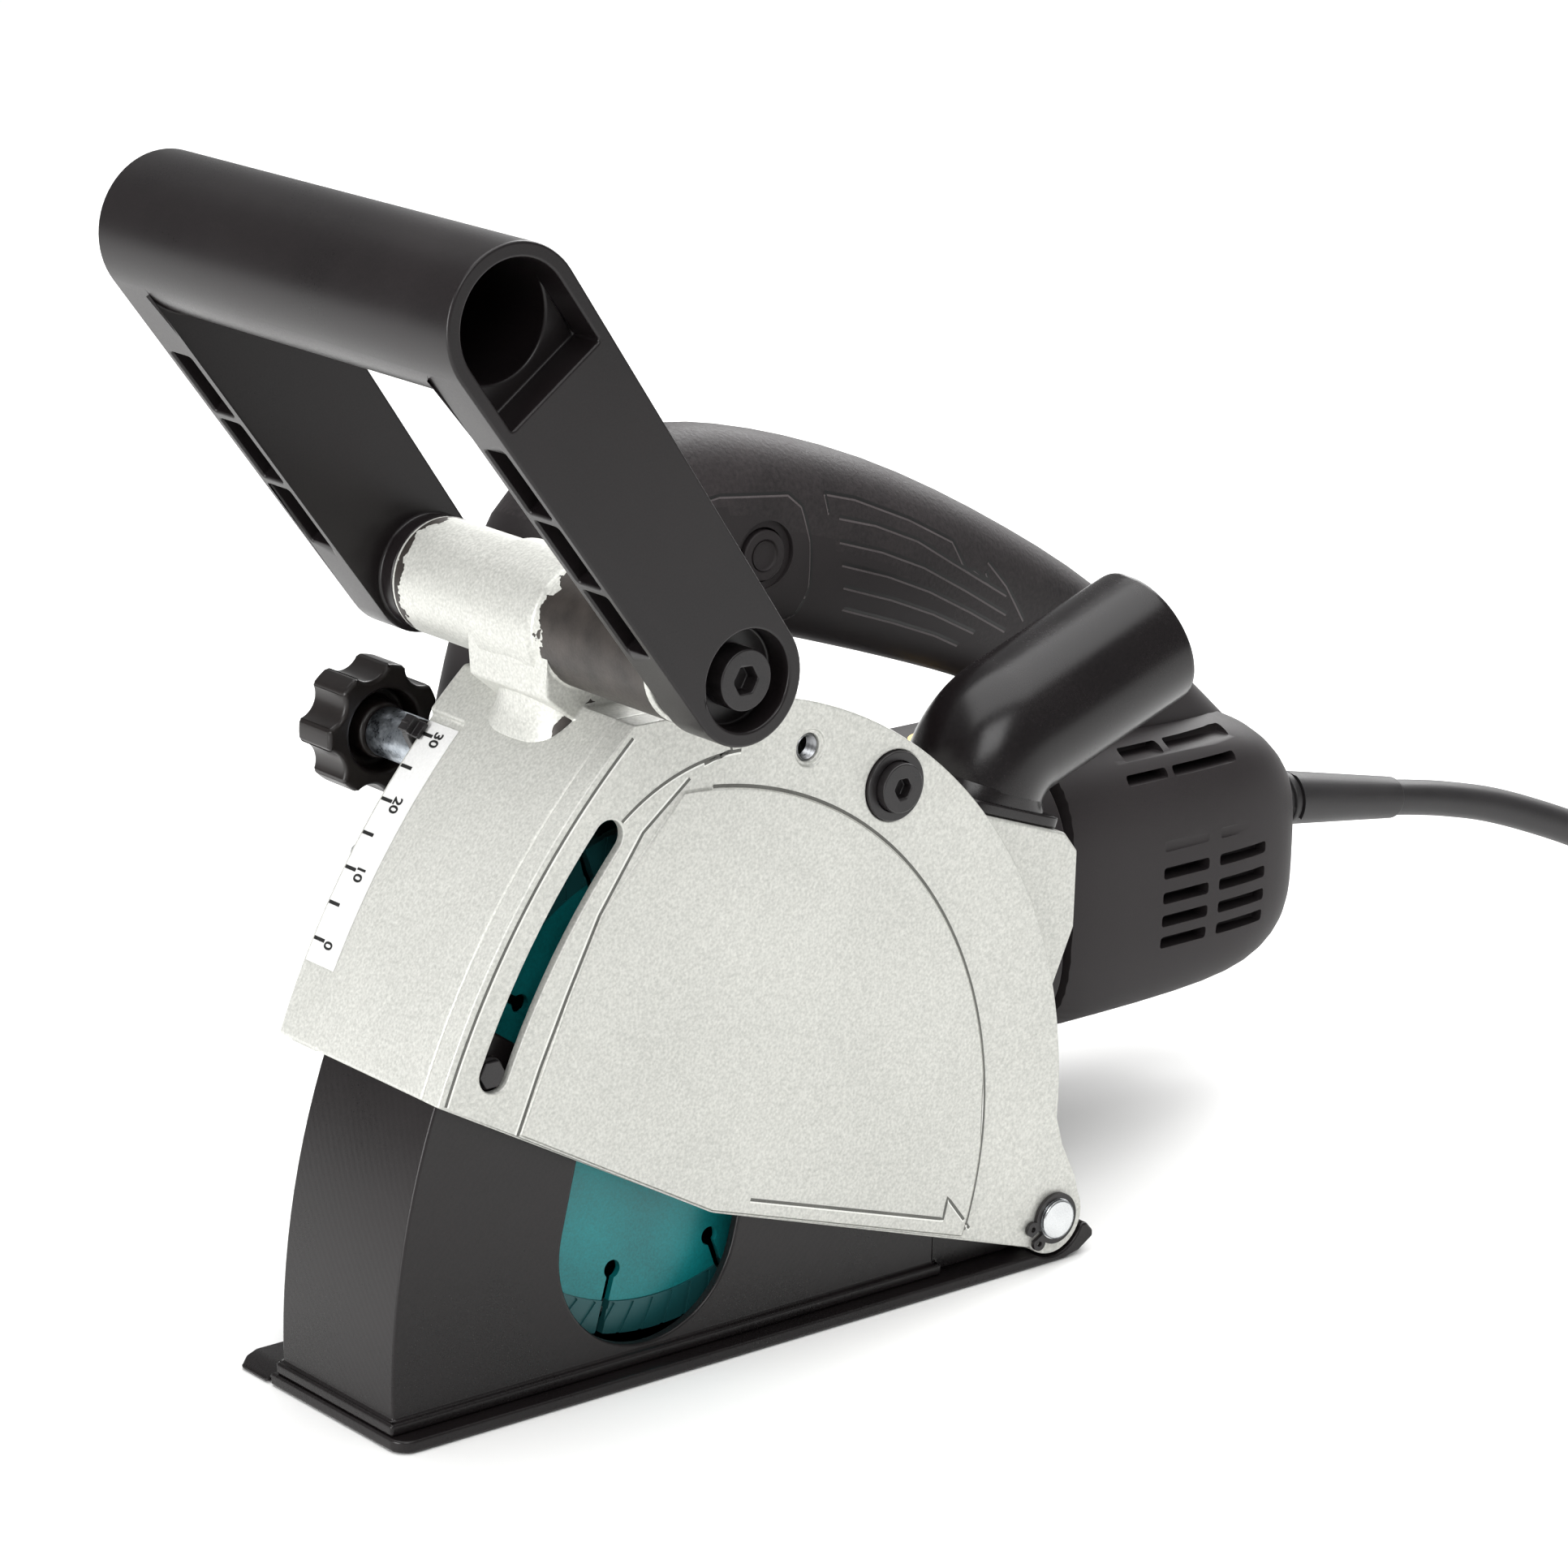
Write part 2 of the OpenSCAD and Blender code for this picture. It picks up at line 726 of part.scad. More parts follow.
module bearing_box() {
    color([0.66, 0.67, 0.67]) difference() {
        union() {
            ycyl([spindle_x, spindle_z], 24, -39.55, -31.5, 96);
            ycyl([spindle_x, spindle_z], 31, -39.55, -case_right - 0.1, 96);
            ycyl([spindle_x, spindle_z], 24, -46, -39.5, 96);
        }
        ycyl([spindle_x, spindle_z], 17.5, -47, -34, 96);
        ycyl([spindle_x, spindle_z], 9.5, -50, -20);
        box_screw_holes(2.1);
        // flat that clears the sole at full plunge
        slab(-41, -36) translate([spindle_x, spindle_z]) rotate(plunge_angle) translate([-60, -60])
            square([120, 33]);
    }
}

module box_screw_holes(r) {
    for (a = [45:90:315]) ycyl([spindle_x + 27.4 * cos(a), spindle_z + 27.4 * sin(a)], r, -43, -36);
}

module bearing_box_screws() {
    color([0.4, 0.4, 0.41]) for (a = [45:90:315])
        ycyl([spindle_x + 27.4 * cos(a), spindle_z + 27.4 * sin(a)], 2.05, -39.5, -36.2);
}

module ball_bearing_y(at, r0, r1, y0, y1) {
    ycyl_ring(at, r1 - 2.6, r1, y0, y1);
    ycyl_ring(at, r0, r0 + 2.4, y0, y1);
    ycyl_ring(at, r0 + 2.3, r1 - 2.5, y0 + 1, y1 - 1);
}

module spindle_bearings() {
    color([0.72, 0.72, 0.74]) {
        ball_bearing_y([spindle_x, spindle_z], 8.03, 17.4, -45.5, -34.2);
        ycyl_ring([spindle_x, spindle_z], 7.03, 10.9, gear_y[0] + 1.6, gear_y[0] + 6);
    }
}

module spindle() {
    color([0.6, 0.61, 0.63]) {
        ycyl([spindle_x, spindle_z], 7, -88, -74);
        ycyl([spindle_x, spindle_z], 8, -74, -34.2);
        ycyl([spindle_x, spindle_z], 9, -34.2, -24);
        ycyl([spindle_x, spindle_z], 7, -24, guard_left - guard_t - 0.8);
    }
}

// Crown wheel: a disc with radial teeth towards the pinion.
module ring_gear() {
    tooth_h = 2.6;
    face_y = motor_y + pinion_r;
    color([0.5, 0.5, 0.52]) {
        ycyl_ring([spindle_x, spindle_z], 8, 27.8, face_y + 1.4, face_y + 7.4);
        for (i = [0:ring_teeth - 1]) translate([spindle_x, face_y + 1.5, spindle_z])
            rotate([0, i * 360 / ring_teeth, 0]) rotate([90, 0, 0])
                translate([-27.5, 0, 0]) rotate([0, 90, 0]) linear_extrude(5)
                    polygon([[0.2, -1], [0.2, 1], [-tooth_h, 0.5], [-tooth_h, -0.5]]);
    }
}

module pinion_gear() {
    mid_x = spindle_x - ring_r;
    color([0.5, 0.5, 0.52]) translate([mid_x - 2.5, motor_y, spindle_z]) rotate([0, 90, 0]) difference() {
        union() {
            cylinder(h = 5, r = 6.3);
            for (i = [0:pinion_teeth - 1]) rotate(i * 360 / pinion_teeth) linear_extrude(5)
                polygon([[6.1, -1.05], [9, -0.5], [9, 0.5], [6.1, 1.05]]);
        }
        translate([0, 0, -1]) cylinder(h = 7, r = 4);
    }
}

module inner_flange() {
    color([0.55, 0.56, 0.57]) ycyl_ring([spindle_x, spindle_z], 7, 20, -24, -disc_face);
}

// A diamond disc: thin blank, raised turbo rim, keyhole cooling slots.
module disc(y0) {
    rim_r = 54.6;
    centre = [spindle_x, spindle_z];
    slab(y0 + 0.4, y0 + disc_t - 0.4) disc_face_profile(disc_r, centre);
    slab(y0, y0 + disc_t) difference() {
        disc_face_profile(disc_r, centre);
        translate(centre) circle(rim_r, $fn = 120);
        for (i = [0:59]) translate(centre) rotate(i * 6) translate([rim_r + 0.5, 0]) rotate(25)
            square([9.6, 1.1]);
    }
}

module disc_face_profile(r, centre) {
    difference() {
        translate(centre) circle(r, $fn = 180);
        translate(centre) circle(11.2);
        for (i = [0:disc_slots - 1]) translate(centre) rotate(i * 360 / disc_slots + 33) {
            translate([46.9, 0]) circle(2.3);
            translate([46.9, -1.1]) square([20, 2.2]);
        }
    }
}

module disc_inner() {
    color([0.05, 0.48, 0.51]) disc(-disc_face);
}

module disc_outer() {
    color([0.05, 0.48, 0.51]) disc(disc_face - disc_t);
}

// Rings that set the groove's width.
module spacer_rings() {
    widths = [10, 6, 3, 3, 3.6];
    starts = [0, 10, 16, 19, 22];
    y0 = -disc_face + disc_t;
    color([0.6, 0.6, 0.6]) for (i = [0:4])
        ycyl_ring([spindle_x, spindle_z], 7.02, 20, y0 + starts[i], y0 + starts[i] + widths[i] - 0.02);
    for (y = [-disc_face, disc_face - disc_t])
        color([0.6, 0.6, 0.6]) ycyl_ring([spindle_x, spindle_z], 7.02, 11.1, y + 0.02, y + disc_t - 0.02);
}

module lock_nut() {
    color([0.25, 0.25, 0.26]) difference() {
        ycyl_ring([spindle_x, spindle_z], 7, 19.5, disc_face, guard_left - guard_t - 0.6);
        for (side = [-1, 1]) ycyl([spindle_x + side * 13, spindle_z], 2.3, 0, 40);
    }
}

// ---- motor ----

// Cross-section of the motor housing, looking along X, moved in by inset.
module body_section(inset = 0) {
    round_rect(motor_h - 2 * inset, motor_w - 2 * inset, 26 - inset);
}

module body_prism(x0, x1, inset = 0) {
    translate([x0, motor_y, body_mid_z]) rotate([0, 90, 0]) linear_extrude(x1 - x0) body_section(inset);
}

module motor_housing() {
    color([0.13, 0.12, 0.13]) difference() {
        body_prism(rear_body_x, gear_x[0] - 4.2);
        body_prism(rear_body_x - 1, gear_x[0] - 8, 3);
        xcyl(gear_x[0] - 10, gear_x[0], 29);
        brush_caps_space(8.2);
        gear_screw_holes(2.1);
    }
}

// Brush caps sit in bores above and below the motor axis.
module brush_caps_space(r) {
    translate([-38, motor_y, 0]) cylinder(h = 120, r = r);
}

module armature_shaft() {
    color([0.7, 0.7, 0.72]) difference() {
        union() {
            xcyl(-61, 86, 4);
            xcyl(86, 94, 3.9);
        }
        xcyl(93, 95, 1);
    }
}

module armature_core() {
    color([0.35, 0.33, 0.32]) difference() {
        xcyl(-16, 34, 18.5);
        xcyl(-17, 35, 4);
        for (i = [0:11]) translate([-17, motor_y, spindle_z]) rotate([i * 30, 0, 0])
            translate([0, 16.2, -0.9]) cube([52, 4, 1.8]);
    }
    color([0.62, 0.35, 0.2]) for (x = [[-25, -16], [34, 41]]) difference() {
        xcyl(x[0], x[1], 15);
        xcyl(x[0] - 1, x[1] + 1, 4);
    }
}

module commutator() {
    bars = 24;
    color([0.7, 0.42, 0.25]) difference() {
        xcyl(-46, -29, 11.5);
        xcyl(-47, -28, 4);
        for (i = [0:bars - 1]) translate([-47, motor_y, spindle_z]) rotate([i * 360 / bars, 0, 0])
            translate([0, 10.6, -0.3]) cube([20, 3, 0.6]);
    }
}

module cooling_fan() {
    blades = 14;
    color([0.85, 0.85, 0.82]) {
        difference() {
            xcyl(44, 46, 27);
            xcyl(43, 47, 4);
        }
        difference() {
            xcyl(45.9, 53, 8);
            xcyl(43, 54, 4);
        }
        for (i = [0:blades - 1]) translate([45.9, motor_y, spindle_z]) rotate([i * 360 / blades, 0, 0])
            translate([0, 7.5, -0.7]) cube([7, 19, 1.4]);
    }
}

module fan_baffle() {
    color([0.2, 0.2, 0.2]) difference() {
        translate([41.3, motor_y, body_mid_z]) rotate([0, 90, 0]) linear_extrude(1.6) body_section(3.1);
        xcyl(40, 44, 21);
    }
}

module motor_bearings() {
    color([0.72, 0.72, 0.74]) for (x = [[63, 73.9, 12.95], [-60, -53, 9.5]]) difference() {
        xcyl(x[0], x[1], x[2]);
        xcyl(x[0] - 1, x[1] + 1, 4.03);
        translate([x[0] - 1, motor_y, spindle_z]) rotate([0, 90, 0]) difference() {
            cylinder(h = 2, r = x[2] - 2);
            translate([0, 0, -1]) cylinder(h = 4, r = 6);
        }
    }
}

module stator_core() {
    color([0.4, 0.4, 0.42]) difference() {
        xcyl(-18, 36, 32.5);
        xcyl(-19, 37, 19.2);
        for (side = [-1, 1]) translate([-19, motor_y - 9, spindle_z + side * 24 - 4.5]) cube([56, 18, 9]);
        for (side = [-1, 1]) translate([-19, motor_y + side * 33 - 3, spindle_z - 20]) cube([56, 6, 40]);
    }
}

module field_coils() {
    color([0.66, 0.36, 0.2]) for (side = [-1, 1])
        translate([-24, motor_y - 8.8, spindle_z + side * 24 - 4.2]) cube([66 - 0.8, 17.6, 8.4]);
}

module brush_holders() {
    color([0.75, 0.6, 0.3]) for (side = [-1, 1]) difference() {
        translate([-43, motor_y - 5.5, side > 0 ? spindle_z + 12.5 : spindle_z - 32.5]) cube([10, 11, 20]);
        translate([-41, motor_y - 3.5, side > 0 ? spindle_z + 11 : spindle_z - 34]) cube([6, 7, 23]);
    }
    color([0.15, 0.15, 0.15]) difference() {
        translate([-38, motor_y, 102.2]) cylinder(h = 4.6, r = 8.1);
        translate([-46, motor_y - 0.8, 105.8]) cube([16, 1.6, 2]);
    }
}

module carbon_brushes() {
    color([0.1, 0.1, 0.1]) for (side = [-1, 1])
        translate([-40.9, motor_y - 3.4, side > 0 ? spindle_z + 11.6 : spindle_z - 25.6]) cube([5.8, 6.8, 14]);
}

// ---- rear handle ----

handle_arc = [103.3, -104.9];
handle_arc_r = 311.4;

// Closed D of the handle and rear body, seen from the side, moved in by inset.
module handle_outline(inset = 0) {
    i = inset;
    intersection() {
        translate(handle_arc) circle(handle_arc_r - i, $fn = 240);
        polygon([
            [124 - i, gear_z[1] + 0.2 + i], [118 - i, 135], [100 - i, 190], [92 - i, 197 - i], [84, 199 - i],
            [60, 215], [-160, 215], [tool_rear + i, 90], [tool_rear + i, 60],
            [rear_body_x - 0.3 - i, 60], [rear_body_x - 0.3 - i, 106.6 + i], [58 + i, 106.6 + i],
            [75 + i, gear_z[1] + 0.2 + i]
        ]);
    }
}

// Gap for the fingers, grown by grow.
module finger_gap(grow = 0) {
    g = grow;
    polygon([
        [72 + g, 106.5 - g], [76 + g, 120], [70 + g, 148 + g], [60, 155 + g], [44, 151.5 + g],
        [29, 147 + g], [-28, 127 + g], [-62, 116.5 + g], [-68 - g, 111], [-62, 106.5 - g]
    ]);
}

module handle_solid(inset = 0) {
    slab(handle_y[0] + inset, handle_y[1] - inset) difference() {
        handle_outline(inset);
        finger_gap(inset);
    }
    body_prism(tool_rear + inset, rear_body_x - 0.2, inset);
}

// Air slots on the left of the rear body: a lower block of rows and two upper rows.
module vent_slots() {
    for (row = [0:3], col = [0, 1])
        translate([-82 - col * 21 - 17, motor_y, 53 + row * 6.6]) cube([17, 60, 3]);
    for (row = [0, 1], col = [0, 1])
        translate([-72 - col * 25 - 21, motor_y + 20, 91 + row * 6.6]) rotate([0, 0, 0]) cube([21, 40, 2.6]);
}

module handle_shell(y0, y1) {
    difference() {
        intersection() {
            handle_solid();
            translate([-300, y0, 0]) cube([600, y1 - y0, 300]);
        }
        intersection() {
            handle_solid(3);
            translate([-300, -200, 0]) cube([600, 300, 300]);
        }
        // joint between the rear body and the motor housing's mouth
        body_prism(rear_body_x - 2, rear_body_x + 2, 3);
        trigger_space(0.4);
        xcyl(-170, -140, 6.2, cord_y, cord_z);
    }
}

module handle_left() {
    color([0.12, 0.11, 0.12]) difference() {
        handle_shell(motor_y + 0.02, -20);
        vent_slots();
        ycyl([36, 170], 6.7, -60, -40);
        ycyl([36, 170], 9, handle_y[1] - 1.4, -40);
        overmould_space();
    }
}

module handle_right() {
    color([0.12, 0.11, 0.12]) difference() {
        handle_shell(-120, motor_y - 0.02);
        mirror_y() vent_slots();
        for (at = handle_screw_points) ycyl(at, 3.6, -120, handle_y[0] + 2.3);
        overmould_space();
    }
}

module mirror_y() {
    translate([0, 2 * motor_y, 0]) mirror([0, 1, 0]) children();
}

// Soft layer let into the top of the handle.
module overmould_outline() {
    intersection() {
        difference() {
            translate(handle_arc) circle(handle_arc_r, $fn = 240);
            translate(handle_arc) circle(handle_arc_r - 2.6, $fn = 240);
        }
        translate([-100, 90]) square([185, 140]);
    }
}

module overmould_space() {
    slab(handle_y[0] - 1, handle_y[1] + 1) overmould_outline();
}

module handle_overmould() {
    color([0.1, 0.09, 0.1]) slab(handle_y[0], handle_y[1]) overmould_outline();
}

handle_screw_points = [[92, 150], [-76, 130], [-140, 92], [-140, 46]];

module handle_screws() {
    color([0.4, 0.4, 0.41]) for (i = [0:3]) {
        at = handle_screw_points[i];
        head_y = i < 2 ? handle_y[0] + 0.2 : motor_y - motor_w / 2 + 3.6;
        ycyl(at, 3.4, head_y, head_y + 2);
    }
}

// Switch and its trigger, in the front of the handle.
trigger_x = [36, 60];

module trigger_space(gap) {
    translate([trigger_x[0] - gap, motor_y - 8 - gap, 130])
        cube([trigger_x[1] - trigger_x[0] + 2 * gap, 16 + 2 * gap, 36]);
}

module trigger() {
    color([0.1, 0.1, 0.11]) difference() {
        slab(motor_y - 8, motor_y + 8) polygon([
            [trigger_x[0], 141], [trigger_x[0] + 4, 140], [trigger_x[1] - 6, 146], [trigger_x[1], 150],
            [trigger_x[1], 160], [trigger_x[0], 160]
        ]);
        slab(motor_y - 6, motor_y + 6) polygon([
            [trigger_x[0] + 2, 150], [trigger_x[1] - 2, 154], [trigger_x[1] - 2, 162], [trigger_x[0] + 2, 162]
        ]);
    }
}

module switch_body() {
    color([0.2, 0.2, 0.22]) {
        translate([28, motor_y - 12, 166.5]) cube([40, 20.5, 16]);
        translate([44, motor_y - 3, 161]) cube([8, 6, 5.6]);
    }
}

module lock_button() {
    color([0.09, 0.09, 0.1]) difference() {
        union() {
            ycyl([36, 170], 6.4, handle_y[1] - 5.2, handle_y[1] - 0.2);
            ycyl([36, 170], 3, handle_y[1] - 6, handle_y[1] - 5.1);
        }
        ycyl([36, 170], 3.8, handle_y[1] - 0.7, handle_y[1] + 1);
    }
}

module speed_controller() {
    color([0.15, 0.2, 0.3]) translate([-120, motor_y - 26, 45]) cube([40, 36, 22]);
}

// Tapered guard around the cord where it leaves the body.
module cord_guard() {
    color([0.08, 0.07, 0.08]) {
        translate([tool_rear - 1.5, cord_y, cord_z]) rotate([0, -90 - guard_droop, 0])
            cylinder(h = guard_long, r1 = 7.4, r2 = 5.8);
        xcyl(tool_rear - 2.6, tool_rear - 0.1, 7.5, cord_y, cord_z);
        xcyl(tool_rear - 0.2, -140, 6.1, cord_y, cord_z);
        xcyl(-149.6, -147, 9, cord_y, cord_z);
    }
}

module cord_clamp() {
    color([0.15, 0.15, 0.16]) difference() {
        translate([-138, cord_y - 10, cord_z - 3]) cube([8, 20, 12]);
        xcyl(-139, -129, 5.1, cord_y, cord_z);
    }
}

// ---- spindle lock ----

module lock_pin() {
    color([0.09, 0.09, 0.1]) {
        xcyl(gear_x[1] - 1, gear_x[1] + 6.2, 3.5, lock_y);
        xcyl(gear_x[1] + 6, gear_x[1] + 9, 7, lock_y);
    }
}

module lock_spring() {
    color([0.6, 0.6, 0.62]) for (i = [0:2])
        translate([gear_x[1] + i * 1.2, lock_y, spindle_z]) rotate([0, 90, 0])
            rotate_extrude() translate([5.1, 0]) circle(0.45, $fn = 16);
}

// ---- front grip ----

// Side outline of an arm: two round ends joined by their common tangents.
module arm_outline(r0, r1) {
    turn = asin((r1 - r0) / grip_arm);
    translate(boss) circle(r0);
    translate(grip_tube) circle(r1);
    polygon([
        boss + r0 * [cos(grip_angle + 90 + turn), sin(grip_angle + 90 + turn)],
        grip_tube + r1 * [cos(grip_angle + 90 + turn), sin(grip_angle + 90 + turn)],
        grip_tube + r1 * [cos(grip_angle - 90 - turn), sin(grip_angle - 90 - turn)],
        boss + r0 * [cos(grip_angle - 90 - turn), sin(grip_angle - 90 - turn)]
    ]);
}

module front_grip() {
    outer = grip_w / 2;
    color([0.11, 0.1, 0.1]) difference() {
        union() {
            for (side = [-1, 1]) {
                y0 = side > 0 ? outer - arm_t : -outer;
                slab(y0, y0 + arm_t) arm_outline(arm_r, grip_d / 2);
                hub0 = side > 0 ? boss_half + 0.3 : -outer + 1;
                ycyl(boss, boss_r - 0.5, hub0, hub0 + outer - 1 - boss_half - 0.3);
            }
            ycyl(grip_tube, grip_d / 2, -outer, outer, 64);
        }
        for (side = [-1, 1]) {
            // recess and hole for the grip's bolt
            ycyl(boss, 11.5, side > 0 ? outer - 7 : -outer - 1, side > 0 ? outer + 1 : -outer + 7);
            ycyl(boss, 4.2, side > 0 ? 40 : -outer, side > 0 ? outer : -40);
            // open end of the tube, with a pocket below it
            ycyl(grip_tube, 14, side > 0 ? outer - 46 : -outer - 1, side > 0 ? outer + 1 : -outer + 46, 64);
            slab(side > 0 ? outer - 9 : -outer - 1, side > 0 ? outer + 1 : -outer + 9)
                translate(grip_tube) rotate(grip_angle + 90) translate([-14, 0]) square([28, 17.5]);
            // pockets along the front edge of the arm
            for (i = [0:2]) slab(side > 0 ? outer - 10.5 : -outer + 2.5, side > 0 ? outer - 2.5 : -outer + 10.5)
                translate(boss) rotate(grip_angle) translate([22 + i * 21.5, -20]) square([19, 11]);
        }
    }
}

module grip_bolts() {
    outer = grip_w / 2;
    color([0.2, 0.2, 0.21]) {
        socket_screw_y(boss, 7, 3.35, 26, outer - 0.6, 6.4, 3.4);
        mirror([0, 1, 0]) socket_screw_y(boss, 7, 3.35, 26, outer - 0.6, 6.4, 3.4);
    }
}

// ---- depth stop ----

module stop_bolt() {
    at = pin_point(stop_r, scale_full_angle);
    color([0.62, 0.65, 0.68]) {
        ycyl(at, 4, -70, -29);
        ycyl(at, 6, -59.4, -39.2);
        slab(-32.9, -29) translate(at) rotate(scale_full_angle) square([10, 15], center = true);
    }
}

// Black pointer that reaches over the edge of the scale.
module stop_pointer() {
    at = pin_point(stop_r, scale_full_angle);
    color([0.08, 0.07, 0.07]) difference() {
        union() {
            slab(-39, -36.5) {
                translate(at) circle(7);
                translate(at) rotate(scale_full_angle) polygon([[0, -6.4], [11, -2.6], [13.8, 0], [11, 2.6], [0, 6.4]]);
            }
            slab(-39, -33.4) intersection() {
                pin_ring(strip_r + 0.8, strip_r + 2);
                pin_wedge(scale_full_angle - 0.6, scale_full_angle + 0.6);
            }
            slab(-39, -35.6) intersection() {
                pin_ring(strip_r + 0.8, strip_r + 4);
                pin_wedge(scale_full_angle - 0.6, scale_full_angle + 0.6);
            }
        }
        ycyl(at, 4.02, -45, -30);
    }
}

// Star knob with seven lobes, hollow towards the case.
module stop_knob() {
    at = pin_point(stop_r, scale_full_angle);
    lobes = 7;
    color([0.1, 0.09, 0.09]) difference() {
        slab(-73, -59.5) translate(at) difference() {
            circle(16);
            for (i = [0:lobes - 1]) rotate((i + 0.5) * 360 / lobes) translate([18.6, 0]) circle(5.4);
        }
        ycyl(at, 10, -66, -58);
        ycyl(at, 4.05, -71, -58);
    }
    color([0.1, 0.09, 0.09]) ycyl_ring(at, 4.05, 7, -71, -59.7);
}

// ---- power cord ----

// Direction of a route at point i.
function route_dir(route, i) =
    let (a = route[max(i - 1, 0)], b = route[min(i + 1, len(route) - 1)]) (b - a) / norm(b - a);

// Tube swept along a route that never points straight up.
module route_tube(route, r, sides = 10) {
    count = len(route);
    rings = [for (i = [0:count - 1])
        let (d = route_dir(route, i), s = cross(d, [0, 0, 1]), side = s / norm(s), up = cross(side, d))
            for (k = [0:sides - 1])
                route[i] + r * (cos(k * 360 / sides) * side + sin(k * 360 / sides) * up)];
    walls = [for (i = [0:count - 2], k = [0:sides - 1])
        let (n = (k + 1) % sides)
            [i * sides + k, i * sides + n, (i + 1) * sides + n, (i + 1) * sides + k]];
    start = [for (k = [sides - 1:-1:0]) k];
    finish = [for (k = [0:sides - 1]) (count - 1) * sides + k];
    polyhedron(rings, concat(walls, [start, finish]));
}

module power_cord() {
    color([0.09, 0.09, 0.1]) {
        route_tube(cord_route, cord_d / 2);
        route_tube(tail_route, cord_d / 2);
    }
}

// Outer shape of the wound coil.
module cord_coil() {
    half = coil_pitch / 2;
    color([0.09, 0.09, 0.1]) translate([coil_at[0], coil_at[1], 0]) rotate_extrude($fn = 96)
        translate([coil_inner - half, 0]) square([(coil_cols - 1) * coil_pitch + cord_d, coil_layers * coil_pitch]);
}

module coil_tie() {
    inner = coil_inner - coil_pitch / 2;
    outer = inner + (coil_cols - 1) * coil_pitch + cord_d;
    height = coil_layers * coil_pitch;
    color([0.2, 0.2, 0.2]) translate([coil_at[0], coil_at[1], 0]) intersection() {
        difference() {
            cylinder(h = height + 1, r = outer + 1, $fn = 96);
            translate([0, 0, -1]) cylinder(h = height + 3, r = inner - 1, $fn = 96);
            translate([0, 0, -1]) difference() {
                cylinder(h = height + 1, r = outer, $fn = 96);
                translate([0, 0, -1]) cylinder(h = height + 3, r = inner, $fn = 96);
            }
        }
        translate([-6, 2, 0]) cube([12, outer, height + 2]);
    }
}

module plug_body() {
    color([0.08, 0.08, 0.09]) translate(plug_at) rotate([0, -90, 0]) {
        cylinder(h = 6, r = 6.5);
        translate([0, 0, 6]) cylinder(h = 24, r1 = 9, r2 = 16.5);
        translate([0, 0, 30]) cylinder(h = 12, r = 16.5);
    }
}

module plug_pins() {
    pin_gap = 19;
    color([0.8, 0.8, 0.78]) for (side = [-1, 1])
        translate([plug_at[0] - 42, plug_at[1] + side * pin_gap / 2, plug_at[2]]) rotate([0, -90, 0]) {
            cylinder(h = 17, r = 2.4);
            translate([0, 0, 17]) sphere(2.4);
        }
}

// ---- what is drawn ----

sole_plate();
guard_box();
sole_screws();
hinge_pin();
pin_circlips();
guide_bolt();
plunge_spring();
wheel_case();
case_cover();
cover_bolt();
depth_scale();
dust_nozzle();
nozzle_screw();
gear_housing();
gear_screws();
bearing_box();
bearing_box_screws();
spindle_bearings();
motor_housing();
motor_bearings();
stator_core();
field_coils();
brush_holders();
carbon_brushes();
fan_baffle();
handle_left();
handle_right();
handle_overmould();
handle_screws();
switch_body();
speed_controller();
cord_guard();
cord_clamp();
spindle();
ring_gear();
inner_flange();
disc_inner();
disc_outer();
spacer_rings();
lock_nut();
armature_shaft();
armature_core();
commutator();
cooling_fan();
pinion_gear();
lock_pin();
lock_spring();
trigger();
lock_button();
front_grip();
grip_bolts();
stop_bolt();
stop_pointer();
stop_knob();
power_cord();
cord_coil();
coil_tie();
plug_body();
plug_pins();
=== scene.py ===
import bpy, bmesh, math
from mathutils import Matrix, Vector
from mathutils.bvhtree import BVHTree


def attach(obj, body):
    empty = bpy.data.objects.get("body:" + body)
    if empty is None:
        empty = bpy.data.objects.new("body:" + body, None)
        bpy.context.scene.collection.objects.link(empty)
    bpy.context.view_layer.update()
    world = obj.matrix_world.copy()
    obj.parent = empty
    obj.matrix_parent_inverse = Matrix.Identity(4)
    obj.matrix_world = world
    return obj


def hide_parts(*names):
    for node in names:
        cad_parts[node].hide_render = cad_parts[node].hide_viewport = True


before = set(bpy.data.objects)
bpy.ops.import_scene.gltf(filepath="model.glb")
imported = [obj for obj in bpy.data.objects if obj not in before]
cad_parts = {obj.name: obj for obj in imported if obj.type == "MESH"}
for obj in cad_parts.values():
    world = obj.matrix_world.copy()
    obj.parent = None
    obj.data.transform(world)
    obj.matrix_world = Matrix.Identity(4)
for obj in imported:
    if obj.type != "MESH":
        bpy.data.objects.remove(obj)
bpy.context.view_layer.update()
mm = 0.001

# camera: long lens, a little above the guard's near corner
view = {"place": (830.5, 919.7, 484.2), "azimuth": 140.24, "elevation": 16.59, "roll": 1.16, "lens": 121.1}


def setCamera():
    az, el, roll = (math.radians(view[k]) for k in ("azimuth", "elevation", "roll"))
    back = Vector((math.sin(az) * math.cos(el), -math.cos(az) * math.cos(el), math.sin(el)))
    right = (-back).cross(Vector((0, 0, 1))).normalized()
    up = right.cross(-back)
    side = right * math.cos(roll) + up * math.sin(roll)
    top = up * math.cos(roll) - right * math.sin(roll)
    data = bpy.data.cameras.new("camera")
    data.lens, data.sensor_width, data.clip_start, data.clip_end = view["lens"], 36, 0.05, 30
    camera = bpy.data.objects.new("camera", data)
    bpy.context.scene.collection.objects.link(camera)
    x, y, z = view["place"]
    camera.matrix_world = Matrix(((side.x, top.x, back.x, x * mm), (side.y, top.y, back.y, y * mm),
                                  (side.z, top.z, back.z, z * mm), (0, 0, 0, 1)))
    bpy.context.scene.camera = camera


setCamera()
print("camera set")


